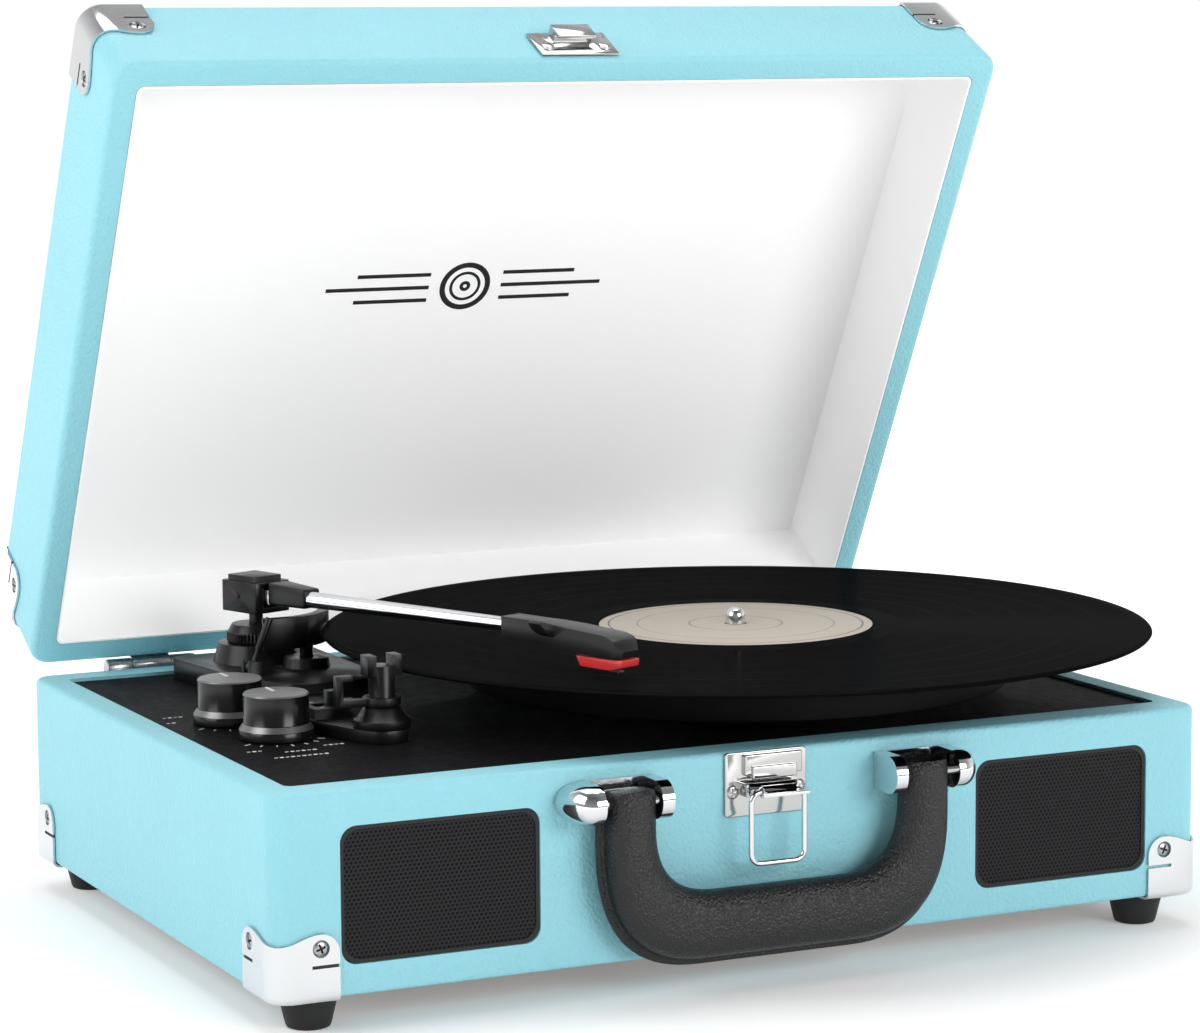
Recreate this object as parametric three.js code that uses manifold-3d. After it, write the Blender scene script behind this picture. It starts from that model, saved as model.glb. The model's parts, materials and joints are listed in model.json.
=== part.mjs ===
// Suitcase record player: a wrapped wooden case with a hinged lid, a belt-driven platter under a
// flat deck, a straight tonearm, two speakers, a draw latch and a padded carrying handle.
// Millimetres, +Z up, front of the case at -Y, hinges at +Y, tonearm on the -X side.

import * as THREE from 'three';
import { mergeVertices } from 'three/addons/utils/BufferGeometryUtils.js';
import Module from 'manifold-3d';

const wasm = await Module();
wasm.setup();

// ---------------------------------------------------------------- driving dimensions

const fit = 0.3; // gap left between pieces that touch

const caseWidth = 350;
const caseDepth = 254;
const baseHeight = 67;
const sideWall = 10;
const frontWall = 13.5;
const backWall = 13.5;
const caseCorner = 8;
const innerCorner = 3;
const bottomThickness = 3;
const deckThickness = 3;
const deckRecess = 1.2;

const lidDepth = 42;
const lidWall = 9;
const lidPanel = 2.2;
const lidLining = 0.7;
const lidAngle = 62.2; // how far the lid stands open from closed, degrees
const rimGap = 0.5; // between the two rims when the lid is shut

const hingeSpread = 127; // from the middle of the case to the middle of each hinge
const hingeLength = 35;
const middleKnuckle = 15;
const knuckleRadius = 3.1;
const hingePinRadius = 1.2;
const leafThickness = 1.1;
const leafHeight = 16;

const capThickness = 0.8;
const capWidth = 22;
const capDepth = 26;
const capHeight = 21.5;
const capCorner = 9;

const footHeight = 12;
const footTopRadius = 10;
const footTipRadius = 7.4;
const footInsetX = 17;
const footInsetY = 15;

const grilleCentre = 117.2;
const grilleWidth = 69.8;
const grilleHeight = 45;
const grilleCorner = 5.5;
const grilleThickness = 1.2;
const grilleSill = 10.2;
const driverRadius = 25;
const driverDepth = 22;
const magnetRadius = 15;

const latchWidth = 30.6;
const latchHeight = 21.8;
const latchPlate = 1;
const latchTopMargin = 0.2;
const leverLength = 12;
const leverWidth = 17.4;
const bailWidth = 20;
const bailDrop = 24;
const bailWire = 0.95;

const handleSpread = 56; // from the middle of the case to the middle of each handle leg
const handleLegWidth = 19.5;
const handleGripHeight = 25.5;
const handleThickness = 14;
const handleDrop = 57.5; // from the pin down to the lower edge of the handle
const handlePinHeight = 56;
const handlePinRadius = 2;
const handleStandOff = 10.5; // from the front face out to the pin
const bracketInner = 4.3;
const bracketDome = 11.5;
const bracketRadius = 6.4;
const bracketPlate = 1.6;

const pivotFromSide = 74;
const pivotFromBack = 43;
const armAngle = 19.6; // from straight forward towards the record, degrees
const armLength = 188.5; // pivot to stylus
const armSlope = 1.1;
const armBaseBack = 7.8;
const armBaseFront = 4.2;
const plinthRadius = 16.6;
const plinthHeight = 7;
const turretRadius = 11;
const turretHeight = 6.5;
const neckRadius = 2.6;
const neckHeight = 4.6;
const blockLength = 20;
const blockWidth = 17;
const blockHeight = 11.4;
const blockCap = 2;
const tiltAxisRise = 6.3; // from the underside of the pivot block up to its cross pin
const tiltPinRadius = 1;
const holderWidth = 8.4;
const holderTop = 2.2;
const holderBottom = 3;
const tubeRootRadius = 3.1;
const tubeTipRadius = 2.3;
const shellLength = 58;
const shellPastStylus = 6;
const shellWidth = 12;
const socketLength = 17;
const cartridgeLength = 22;
const cartridgeWidth = 8.6;
const cartridgeHeight = 3.9;

const spindleFromPivot = 151; // across the deck, from the tonearm pivot to the spindle
const recordRadius = 151;
const recordThickness = 1.6;
const recordClearance = 12.6; // from the case's back face out to the record's back edge
const labelRadius = 50;
const labelThickness = 0.3;
const platterRadius = 100;
const platterHeight = 15.7;
const platterTop = 3;
const platterWall = 3;
const platterRise = 20.7; // top of the platter above the deck
const slipmatThickness = 0.9;
const beltRing = 66;
const beltWidth = 5;
const beltThickness = 1;
const spindleRadius = 3.5;
const spindleTip = 6; // above the record
const pulleyRadius = 4;
const pulleyOffset = 85;
const pulleyAngle = 40;
const motorRadius = 16;
const motorHeight = 24;

const knobRadius = 11.3;
const knobHeight = 16;
const knobSkirtRadius = 13;
const knobSkirt = 3.4;
const knobFromSide = 35.5;
const knobFromPivot = 76.5;
const knobPitch = 35;
const knobStagger = 4;
const stemRadius = 3;
const potSize = 17;
const potHeight = 9;

const postAngle = 193; // around the spindle, from +X
const postClearance = 7.6; // from the record's edge out to the middle of the arm rest
const postHeight = 24.6;
const postRadius = 4.5;
const postFlangeRadius = 10;
const forkWidth = 12.6;
const forkGap = 6;
const forkDepth = 3.6;
const clipReach = 11;
const clipHeight = 11;
const selectorWidth = 20;
const selectorDepth = 17;
const selectorHeight = 3.6;
const sliderSize = 5;
const liftRadius = 25; // of the curved lift bar around the tonearm pivot
const liftWall = 4;
const liftFrom = -15;
const liftTo = 68;
const liftHeight = 11.5;
const liftTravel = 2.4;
const leverStem = 19;
const leverLean = 22;

// ---------------------------------------------------------------- places worked out from them

const left = -caseWidth / 2;
const right = caseWidth / 2;
const front = -caseDepth / 2;
const back = caseDepth / 2;
const deckTop = baseHeight - deckRecess;
const deckUnder = deckTop - deckThickness;
const pivotX = left + pivotFromSide;
const pivotY = back - pivotFromBack;
const spindleX = pivotX + spindleFromPivot;
const spindleY = back + recordClearance - recordRadius;
const platterZ = deckTop + platterRise;
const slipmatZ = platterZ + fit;
const recordZ = slipmatZ + slipmatThickness + fit;
const recordTop = recordZ + recordThickness;
const postX = spindleX + (recordRadius + postClearance) * Math.cos(rad(postAngle));
const postY = spindleY + (recordRadius + postClearance) * Math.sin(rad(postAngle));
const armBaseZ = deckTop + fit;
const backPlateTop = armBaseZ + armBaseBack;
const frontPlateTop = armBaseZ + armBaseFront;
const turretZ = backPlateTop + plinthHeight + fit;
const blockZ = turretZ + turretHeight + neckHeight + fit;
const tiltZ = blockZ + tiltAxisRise;
const hingeY = back + knuckleRadius + fit;
const hingeZ = baseHeight + rimGap / 2;
const knobX = left + knobFromSide;
const knobY = pivotY - knobFromPivot;
const volumeX = knobX + knobStagger;
const volumeY = knobY - knobPitch;
const selectorX = postX - 6;
const selectorY = postY + postFlangeRadius + selectorDepth / 2 + 12;

// ---------------------------------------------------------------- finishes

const finish = (color, roughness, metalness = 0) =>
  new THREE.MeshStandardMaterial({ color, roughness, metalness });
const turquoise = finish(0x8fd4e0, 0.55);
const blackVinyl = finish(0x2a2a2b, 0.7);
const blackPlastic = finish(0x1c1c1e, 0.45);
const greyPlastic = finish(0x3a3a3d, 0.5);
const chrome = finish(0xd6d8da, 0.15, 1);
const steel = finish(0xa6a6a4, 0.4, 1);
const white = finish(0xf2f2f2, 0.8);
const blackRubber = finish(0x1a1a1a, 0.9);
const darkGrille = finish(0x202022, 0.5, 0.4);
const leatherBlack = finish(0x262627, 0.75);
const recordBlack = finish(0x0b0b0c, 0.25);
const labelPaper = finish(0xc9c0ae, 0.8);
const red = finish(0xe0262b, 0.4);
const boardGreen = finish(0x1f6b3a, 0.6);
const wood = finish(0x9a7b55, 0.8);
const felt = finish(0x151516, 1);

// ---------------------------------------------------------------- tools

function rad(degrees) {
  return degrees * Math.PI / 180;
}

// A box between two corners.
function box(x0, x1, y0, y1, z0, z1) {
  const geometry = new THREE.BoxGeometry(x1 - x0, y1 - y0, z1 - z0);
  return geometry.translate((x0 + x1) / 2, (y0 + y1) / 2, (z0 + z1) / 2);
}

// A box given by its middle in X and Y and its lower face.
function block(x, y, z, width, depth, height) {
  return box(x - width / 2, x + width / 2, y - depth / 2, y + depth / 2, z, z + height);
}

// A round bar or cone standing along Z.
function post(x, y, z0, z1, lower, upper = lower, sides = 20) {
  const geometry = new THREE.CylinderGeometry(upper, lower, z1 - z0, sides);
  return geometry.rotateX(Math.PI / 2).translate(x, y, (z0 + z1) / 2);
}

// A round bar along X.
function barX(y, z, x0, x1, radius, sides = 20) {
  const geometry = new THREE.CylinderGeometry(radius, radius, x1 - x0, sides);
  return geometry.rotateZ(Math.PI / 2).translate((x0 + x1) / 2, y, z);
}

// A round bar along Y.
function barY(x, z, y0, y1, radius, sides = 20) {
  const geometry = new THREE.CylinderGeometry(radius, radius, y1 - y0, sides);
  return geometry.translate(x, (y0 + y1) / 2, z);
}

// An outline raised along Z.
function prism(shape, z0, z1, curveSegments = 3) {
  const geometry = new THREE.ExtrudeGeometry(shape, {
    depth: z1 - z0,
    bevelEnabled: false,
    curveSegments,
  });
  return geometry.translate(0, 0, z0);
}

// A profile of [radius, height] points turned about a vertical axis.
function turned(points, x, y, sides = 48) {
  const profile = points.map(([radius, height]) => new THREE.Vector2(radius, height));
  return new THREE.LatheGeometry(profile, sides).rotateX(Math.PI / 2).translate(x, y, 0);
}

// A rectangle with round corners, as an outline or as a hole.
function roundedRectangle(x0, x1, y0, y1, radius, Kind = THREE.Shape) {
  const outline = new Kind();
  outline.moveTo(x0 + radius, y0);
  outline.lineTo(x1 - radius, y0);
  outline.absarc(x1 - radius, y0 + radius, radius, -Math.PI / 2, 0, false);
  outline.lineTo(x1, y1 - radius);
  outline.absarc(x1 - radius, y1 - radius, radius, 0, Math.PI / 2, false);
  outline.lineTo(x0 + radius, y1);
  outline.absarc(x0 + radius, y1 - radius, radius, Math.PI / 2, Math.PI, false);
  outline.lineTo(x0, y0 + radius);
  outline.absarc(x0 + radius, y0 + radius, radius, Math.PI, Math.PI * 1.5, false);
  return outline;
}

function circle(x, y, radius, Kind = THREE.Path) {
  const outline = new Kind();
  outline.absarc(x, y, radius, 0, Math.PI * 2, false);
  return outline;
}

// A polygon whose corners are rounded by quadratic curves that start and end `radius` from them.
function softPolygon(corners, radius) {
  const outline = new THREE.Shape();
  corners.forEach(([x, y], index) => {
    const corner = new THREE.Vector2(x, y);
    const before = new THREE.Vector2(...corners.at(index - 1)).sub(corner).setLength(radius);
    const after = new THREE.Vector2(...corners[(index + 1) % corners.length]).sub(corner);
    after.setLength(radius);
    const start = before.add(corner);
    const end = after.add(corner);
    if (index === 0) outline.moveTo(start.x, start.y);
    else outline.lineTo(start.x, start.y);
    outline.quadraticCurveTo(x, y, end.x, end.y);
  });
  outline.closePath();
  return outline;
}

// A mirror image in the planes whose factor is -1, with its faces still pointing out.
function mirrored(source, x, y, z) {
  const geometry = bare(source.clone().scale(x, y, z));
  if (x * y * z > 0) return geometry;
  const index = geometry.index.array;
  for (let face = 0; face < index.length; face += 3) {
    [index[face], index[face + 1]] = [index[face + 1], index[face]];
  }
  return geometry;
}

// The same surface with only its points, each shared by the triangles that meet there.
function bare(geometry) {
  const copy = geometry.clone();
  copy.deleteAttribute('normal');
  copy.deleteAttribute('uv');
  return mergeVertices(copy, 1e-4);
}

function solid(geometry) {
  const closed = bare(geometry);
  return new wasm.Manifold(new wasm.Mesh({
    numProp: 3,
    vertProperties: new Float32Array(closed.attributes.position.array),
    triVerts: new Uint32Array(closed.index.array),
  }));
}

function surface(body) {
  const mesh = body.getMesh();
  const geometry = new THREE.BufferGeometry();
  geometry.setAttribute('position', new THREE.BufferAttribute(mesh.vertProperties, 3));
  geometry.setIndex(new THREE.BufferAttribute(mesh.triVerts, 1));
  return geometry;
}

function joined(...geometries) {
  return surface(geometries.map(solid).reduce((sum, piece) => sum.add(piece)));
}

function cut(geometry, ...tools) {
  return surface(tools.map(solid).reduce((rest, tool) => rest.subtract(tool), solid(geometry)));
}

function common(...geometries) {
  return surface(geometries.map(solid).reduce((rest, piece) => rest.intersect(piece)));
}

const player = new THREE.Group();

function add(name, geometry, material, parent = player) {
  const mesh = new THREE.Mesh(geometry, material);
  mesh.name = name;
  parent.add(mesh);
  return mesh;
}

// ---------------------------------------------------------------- base of the case

// The four walls, cut for the speakers and for the sockets at the back.
function baseShell() {
  const outline = roundedRectangle(left, right, front, back, caseCorner);
  outline.holes.push(roundedRectangle(
    left + sideWall, right - sideWall, front + frontWall, back - backWall, innerCorner, THREE.Path));
  const walls = prism(outline, 0, baseHeight);
  const windows = [-1, 1].map((side) => grilleBlock(side, front - 1, front + frontWall + 1, 0));
  const jacks = jackPlaces.map(([x, radius]) =>
    barY(x, jackZ, back - backWall - 1, back + 1, radius + fit, 12));
  return cut(walls, ...windows, ...jacks);
}

// The rounded rectangle of one speaker window, grown outwards by `extra`, from y0 to y1.
function grilleBlock(side, y0, y1, extra) {
  const x0 = side * grilleCentre - grilleWidth / 2 - extra;
  const x1 = side * grilleCentre + grilleWidth / 2 + extra;
  const shape = roundedRectangle(
    x0, x1, grilleSill - extra, grilleSill + grilleHeight + extra, grilleCorner + extra);
  return prism(shape, -y1, -y0).rotateX(Math.PI / 2);
}

const jackZ = 30;
const rcaRadius = 4.2;
const dcRadius = 5;
const phonesRadius = 3.4;
const rcaX = right - 60;
const rcaPitch = 14;
const phonesX = rcaX - 2 * rcaPitch;
const dcX = right - 100 - rcaPitch;
const jackPlaces = [
  [rcaX, rcaRadius],
  [rcaX - rcaPitch, rcaRadius],
  [phonesX, phonesRadius],
  [dcX, dcRadius],
];

function insideBox() {
  return roundedRectangle(
    left + sideWall + fit, right - sideWall - fit,
    front + frontWall + fit, back - backWall - fit, innerCorner);
}

function deckPanel() {
  const outline = insideBox();
  outline.holes.push(circle(spindleX, spindleY, bushRadius + fit));
  outline.holes.push(circle(...pulleyPlace(), pulleyRadius + 3));
  outline.holes.push(circle(knobX, knobY, stemRadius + fit));
  outline.holes.push(circle(volumeX, volumeY, stemRadius + fit));
  return prism(outline, deckUnder, deckTop, 8);
}

function bottomPanel() {
  return prism(insideBox(), 1, 1 + bottomThickness);
}

function speakerDriver(side) {
  const frameLip = 2;
  const coneDepth = 8;
  const coneEye = 7;
  const basketDepth = driverDepth - 9;
  const profile = [
    [0, coneDepth], [coneEye, coneDepth], [driverRadius - 3, frameLip / 2],
    [driverRadius - 3, 0], [driverRadius, 0], [driverRadius, frameLip],
    [magnetRadius, basketDepth], [magnetRadius, driverDepth], [0, driverDepth],
  ];
  const middle = grilleSill + grilleHeight / 2;
  const turnedUp = turned(profile, 0, 0, 20);
  return turnedUp.rotateX(-Math.PI / 2).translate(side * grilleCentre, front + frontWall + fit, middle);
}

// A pressed cap over one corner, for a corner at the origin whose case lies towards +X, +Y, +Z.
function cornerCap() {
  const reach = 60;
  const grown = (gap) => prism(
    roundedRectangle(-gap, reach, -gap, reach, caseCorner + gap), -gap, reach);
  const skin = cut(grown(fit + capThickness), grown(fit));
  const low = -4;
  const onFront = prism(roundedRectangle(low, capWidth, low, capHeight, capCorner), -reach, reach)
    .rotateX(Math.PI / 2);
  const onSide = prism(roundedRectangle(low, capDepth, low, capHeight, capCorner), -reach, reach)
    .rotateX(Math.PI / 2).rotateZ(Math.PI / 2);
  const under = prism(roundedRectangle(low, capWidth, low, capDepth, capCorner), -reach, reach);
  return common(skin, onFront, onSide, under);
}

function baseFoot(x, y) {
  return post(x, y, -footHeight, -fit, footTipRadius, footTopRadius);
}

// ---------------------------------------------------------------- latch and handle

const latchTop = baseHeight - latchTopMargin;
const latchLow = latchTop - latchHeight;
const latchFace = front - fit - latchPlate;
const leverPinY = latchFace - 3;
const leverPinZ = latchLow + 9.5;
const bailY = leverPinY - 5.5;

function latchBase() {
  const half = latchWidth / 2;
  const plate = box(-half, half, latchFace, front - fit, latchLow, latchTop);
  const earWidth = 2.4;
  const earX = leverWidth / 2 + fit;
  const ears = [-1, 1].map((side) => {
    const x0 = side < 0 ? -earX - earWidth : earX;
    return box(x0, x0 + earWidth, leverPinY - 2.2, latchFace + 0.5, leverPinZ - 2.2, leverPinZ + 2.2);
  });
  const pin = barX(leverPinY, leverPinZ, -earX - 1, earX + 1, 1, 12);
  const screws = [-1, 1].map((side) =>
    barY(side * (half - 5), latchLow + 4.4, latchFace - 1, latchFace + 0.5, 2.6, 12));
  return joined(plate, ...ears, pin, ...screws);
}

function latchLever() {
  const half = leverWidth / 2;
  const blade = box(-half, half, leverPinY - leverLength, leverPinY, leverPinZ - 0.6, leverPinZ + 0.6);
  const roll = barX(leverPinY, leverPinZ, -half, half, 2.3, 14);
  const bore = barX(leverPinY, leverPinZ, -half - 1, half + 1, 1 + fit, 12);
  const wireRoll = barX(bailY, leverPinZ, -bailWidth / 2 + 3.8, bailWidth / 2 - 3.8, 2.1, 14);
  const wireBore = barX(bailY, leverPinZ, -half - 1, half + 1, bailWire + fit, 12);
  const notchIn = bailWidth / 2 - 3.8;
  const notches = [-1, 1].map((side) => block(
    side * (notchIn + 3), bailY - 2, leverPinZ - 3, 6, 6.5, 6));
  return cut(joined(blade, roll, wireRoll), bore, wireBore, ...notches);
}

// The wire loop: one closed rectangle with round corners, lying in the plane of the front.
function latchBail() {
  const side = bailWidth / 2;
  const corner = 3.5;
  const path = new THREE.CurvePath();
  const at = (x, z) => new THREE.Vector3(x, bailY, z);
  const top = leverPinZ;
  const low = leverPinZ - bailDrop;
  const bend = (from, knee, to) => path.add(new THREE.QuadraticBezierCurve3(from, knee, to));
  const run = (from, to) => path.add(new THREE.LineCurve3(from, to));
  run(at(0, top), at(side - corner, top));
  bend(at(side - corner, top), at(side, top), at(side, top - corner));
  run(at(side, top - corner), at(side, low + corner));
  bend(at(side, low + corner), at(side, low), at(side - corner, low));
  run(at(side - corner, low), at(corner - side, low));
  bend(at(corner - side, low), at(-side, low), at(-side, low + corner));
  run(at(-side, low + corner), at(-side, top - corner));
  bend(at(-side, top - corner), at(-side, top), at(corner - side, top));
  run(at(corner - side, top), at(-0.6, top));
  return sweep(path, bailWire, 6, 32);
}

// A round wire along a path.
function sweep(path, radius, sides, steps) {
  const section = new THREE.Shape();
  for (let corner = 0; corner < sides; corner += 1) {
    const angle = corner / sides * Math.PI * 2;
    const x = radius * Math.cos(angle);
    const y = radius * Math.sin(angle);
    if (corner === 0) section.moveTo(x, y);
    else section.lineTo(x, y);
  }
  section.closePath();
  return new THREE.ExtrudeGeometry(section, { steps, bevelEnabled: false, extrudePath: path });
}

const pinY = front - handleStandOff;

// A chromed bracket: a short lug and a domed end with the pin between them, on one back plate.
function handleBracket(side) {
  const inner = handleSpread - handleLegWidth / 2 - fit;
  const outer = handleSpread + handleLegWidth / 2 + fit;
  const faceY = front - fit;
  const low = handlePinHeight - bracketRadius;
  const high = handlePinHeight + bracketRadius;
  const end = (x0, x1) => joined(
    barX(pinY, handlePinHeight, x0, x1, bracketRadius, 16), box(x0, x1, pinY, faceY, low, high));
  const ring = 2.5;
  const nose = pinY - bracketRadius - 1;
  const plan = new THREE.Shape();
  plan.moveTo(outer, faceY);
  plan.lineTo(outer, nose);
  plan.lineTo(outer + ring, nose);
  plan.quadraticCurveTo(outer + bracketDome - 1, pinY - 2, outer + bracketDome, faceY);
  plan.closePath();
  const dome = common(end(outer, outer + bracketDome), prism(plan, low - 1, high + 1, 6));
  const plate = box(inner - 1, outer + 1, faceY - bracketPlate, faceY, low, high);
  const pin = barX(pinY, handlePinHeight, inner - 1, outer + 1, handlePinRadius, 12);
  const whole = joined(end(inner - bracketInner, inner), dome, plate, pin);
  return side > 0 ? whole : mirrored(whole, -1, 1, 1);
}

// The padded handle: a U with round shoulders, hanging from the two pins.
function handleGrip() {
  const outer = handleSpread + handleLegWidth / 2;
  const inner = handleSpread - handleLegWidth / 2;
  const low = handlePinHeight - handleDrop;
  const top = handlePinHeight + 4.4;
  const sweepOut = 44;
  const sweepIn = 24;
  const shape = new THREE.Shape();
  shape.moveTo(-outer, top);
  shape.lineTo(-outer, low + sweepOut);
  shape.quadraticCurveTo(-outer, low, sweepOut - outer - 6, low);
  shape.lineTo(outer - sweepOut + 6, low);
  shape.quadraticCurveTo(outer, low, outer, low + sweepOut);
  shape.lineTo(outer, top);
  shape.lineTo(inner, top);
  shape.lineTo(inner, low + handleGripHeight + sweepIn);
  shape.quadraticCurveTo(inner, low + handleGripHeight, inner - sweepIn, low + handleGripHeight);
  shape.lineTo(sweepIn - inner, low + handleGripHeight);
  shape.quadraticCurveTo(-inner, low + handleGripHeight, -inner, low + handleGripHeight + sweepIn);
  shape.lineTo(-inner, top);
  shape.closePath();
  const grip = prism(shape, -handleThickness / 2, handleThickness / 2, 6)
    .rotateX(Math.PI / 2).translate(0, pinY, 0);
  const clear = front - fit - bracketPlate - fit;
  const nearFace = box(-outer - 1, outer + 1, clear, front, low - 1, top + 1);
  const bores = [-1, 1].map((side) => barX(pinY, handlePinHeight,
    side * handleSpread - handleLegWidth / 2 - 1, side * handleSpread + handleLegWidth / 2 + 1,
    handlePinRadius + fit, 12));
  return cut(grip, nearFace, ...bores);
}

// ---------------------------------------------------------------- hinges and lid

// One leaf: a plate against the back with its knuckles. `up` is 1 for the lid, -1 for the base.
function hingeLeaf(x, up, knuckles, withPin) {
  const half = hingeLength / 2;
  const face = back + fit;
  const from = knuckleRadius + 0.5;
  const zs = [hingeZ + up * from, hingeZ + up * leafHeight].sort((a, b) => a - b);
  const plate = box(x - half, x + half, face, face + leafThickness, zs[0], zs[1]);
  const rolls = knuckles.map(([x0, x1]) => barX(hingeY, hingeZ, x + x0, x + x1, knuckleRadius, 12));
  const webs = knuckles.map(([x0, x1]) => {
    const ends = [hingeZ, hingeZ + up * (from + 1)].sort((a, b) => a - b);
    return box(x + x0, x + x1, face, face + leafThickness, ends[0], ends[1]);
  });
  const leaf = joined(plate, ...rolls, ...webs);
  if (withPin) return leaf;
  return cut(leaf, barX(hingeY, hingeZ, x - half, x + half, hingePinRadius + fit, 12));
}

function hingePair(x, name, lid) {
  const half = hingeLength / 2;
  const mid = middleKnuckle / 2;
  const base = hingeLeaf(x, -1, [[-half, -mid - fit], [mid + fit, half]], true);
  const pin = barX(hingeY, hingeZ, x - half + 1, x + half - 1, hingePinRadius, 12);
  add(`hinge_base_leaf_${name}`, joined(base, pin), steel);
  add(`hinge_lid_leaf_${name}`, hingeLeaf(x, 1, [[-mid, mid]], false), steel, lid);
}

const lidLow = baseHeight + rimGap;
const lidTop = lidLow + lidDepth;

function lidShell() {
  const outer = prism(roundedRectangle(left, right, front, back, caseCorner), lidLow, lidTop);
  const inner = prism(roundedRectangle(
    left + lidWall, right - lidWall, front + lidWall, back - lidWall, innerCorner),
  lidLow - 1, lidTop - lidPanel);
  return cut(outer, inner);
}

// The white lining: a thin tray that fills the lid, stopping level with the rim.
function lidTray() {
  const tray = (gap, z0, z1) => prism(roundedRectangle(
    left + lidWall + gap, right - lidWall - gap,
    front + lidWall + gap, back - lidWall - gap, innerCorner), z0, z1);
  const ceiling = lidTop - lidPanel - fit;
  return cut(tray(fit, lidLow, ceiling), tray(fit + lidLining, lidLow - 1, ceiling - lidLining));
}

// The plate on the lid's front wall that the wire loop hooks over.
function lidCatch() {
  const half = latchWidth / 2;
  const low = lidLow + 1.5;
  const face = front - fit;
  const plate = box(-half, half, face - latchPlate, face, low, low + 16);
  const lug = box(-7.5, 7.5, face - 5.5, face - latchPlate + 0.3, low + 5.5, low + 14);
  const mouth = box(-8.5, 8.5, face - 4, face - latchPlate, low + 4, low + 8.5);
  const screws = [-1, 1].map((side) =>
    barY(side * (half - 4), low + 5, face - latchPlate - 1, face - latchPlate + 0.5, 2.4, 12));
  return joined(plate, ...screws, cut(lug, mouth));
}

// ---------------------------------------------------------------- platter, record and drive

const bushRadius = 6.5;
const bushFlange = 12;
const shaftFoot = deckTop - 13;

function pulleyPlace() {
  const angle = rad(pulleyAngle);
  return [spindleX + pulleyOffset * Math.cos(angle), spindleY + pulleyOffset * Math.sin(angle)];
}

function spindleBearing() {
  const low = shaftFoot - fit;
  const bore = spindleRadius + fit;
  const rim = deckTop + fit;
  return turned([
    [0, low - 3], [bushRadius, low - 3], [bushRadius, rim], [bushFlange, rim],
    [bushFlange, rim + 1.8], [bushRadius, rim + 1.8], [bushRadius, rim + 6], [bore, rim + 6],
    [bore, low], [0, low],
  ], spindleX, spindleY, 20);
}

function spindleShaft() {
  const tip = recordTop + spindleTip;
  return turned([
    [0, shaftFoot], [spindleRadius, shaftFoot], [spindleRadius, tip - 3],
    [spindleRadius * 0.86, tip - 1.4], [spindleRadius * 0.5, tip - 0.35], [0, tip],
  ], spindleX, spindleY, 20);
}

function platterDish() {
  const low = platterZ - platterHeight;
  const under = platterZ - platterTop;
  const bore = spindleRadius + fit;
  const hub = 12;
  const hubLow = deckTop + fit + 6 + 1;
  const ringLow = low + 2.5;
  const ringIn = beltRing - 3;
  const rimIn = platterRadius - platterWall;
  return turned([
    [bore, hubLow], [hub, hubLow], [hub, under], [ringIn, under], [ringIn, ringLow],
    [beltRing, ringLow], [beltRing, under], [rimIn, under], [rimIn, low], [platterRadius, low],
    [platterRadius, platterZ - 1], [platterRadius - 1, platterZ], [bore, platterZ],
    [bore, hubLow],
  ], spindleX, spindleY, 36);
}

function washer(inner, outer, z0, z1, sides = 36) {
  return turned(
    [[inner, z0], [outer, z0], [outer, z1], [inner, z1], [inner, z0]], spindleX, spindleY, sides);
}

function recordDisc() {
  const bore = spindleRadius + fit;
  const bevel = 0.4;
  const well = recordTop - labelThickness - fit + 0.1;
  return turned([
    [bore, recordZ], [recordRadius - 1, recordZ], [recordRadius, recordZ + bevel],
    [recordRadius, recordTop - bevel], [recordRadius - 1, recordTop],
    [labelRadius + fit, recordTop], [labelRadius + fit, well], [bore, well], [bore, recordZ],
  ], spindleX, spindleY, 48);
}

const beltLow = platterZ - platterHeight + 4;

function drivePulley() {
  const [x, y] = pulleyPlace();
  const grip = beltLow - 1;
  return turned([
    [0, deckUnder - 4], [1, deckUnder - 4], [1, grip - 1], [pulleyRadius, grip - 1],
    [pulleyRadius, beltLow + beltWidth + 1], [0, beltLow + beltWidth + 1],
  ], x, y, 20);
}

function driveMotor() {
  const [x, y] = pulleyPlace();
  const top = deckUnder - 2;
  return turned([
    [0, top - motorHeight], [motorRadius, top - motorHeight], [motorRadius, top - 1],
    [motorRadius - 1, top], [1 + fit, top], [1 + fit, top - 3], [0, top - 3],
  ], x, y, 20);
}

// The loop round the platter's inner ring and the pulley, along their two outer tangents.
function beltOutline(extra, Kind) {
  const big = beltRing + extra;
  const small = pulleyRadius + extra;
  const turn = Math.acos((big - small) / pulleyOffset);
  const axis = rad(pulleyAngle);
  const [x, y] = pulleyPlace();
  const outline = new Kind();
  outline.absarc(spindleX, spindleY, big, axis + turn, axis - turn + Math.PI * 2, false);
  outline.absarc(x, y, small, axis - turn, axis + turn, false);
  outline.closePath();
  return outline;
}

function driveBelt() {
  const outline = beltOutline(fit + beltThickness, THREE.Shape);
  outline.holes.push(beltOutline(fit, THREE.Path));
  return prism(outline, beltLow, beltLow + beltWidth, 14);
}

// ---------------------------------------------------------------- controls

function knob(x, y) {
  const low = deckTop + fit;
  const skirtTop = low + knobSkirt;
  const waist = skirtTop + 2.2;
  const top = low + knobHeight;
  return turned([
    [0, deckUnder - 5], [stemRadius, deckUnder - 5], [stemRadius, low], [knobSkirtRadius, low],
    [knobSkirtRadius, skirtTop], [knobRadius, waist], [knobRadius, top - 0.6],
    [knobRadius - 0.6, top], [0, top],
  ], x, y, 20);
}

function pot(x, y) {
  const top = deckUnder - fit;
  const body = block(x, y, top - potHeight, potSize, potSize, potHeight);
  return cut(body, post(x, y, top - 6, top + 1, stemRadius + fit, stemRadius + fit, 16));
}

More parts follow.
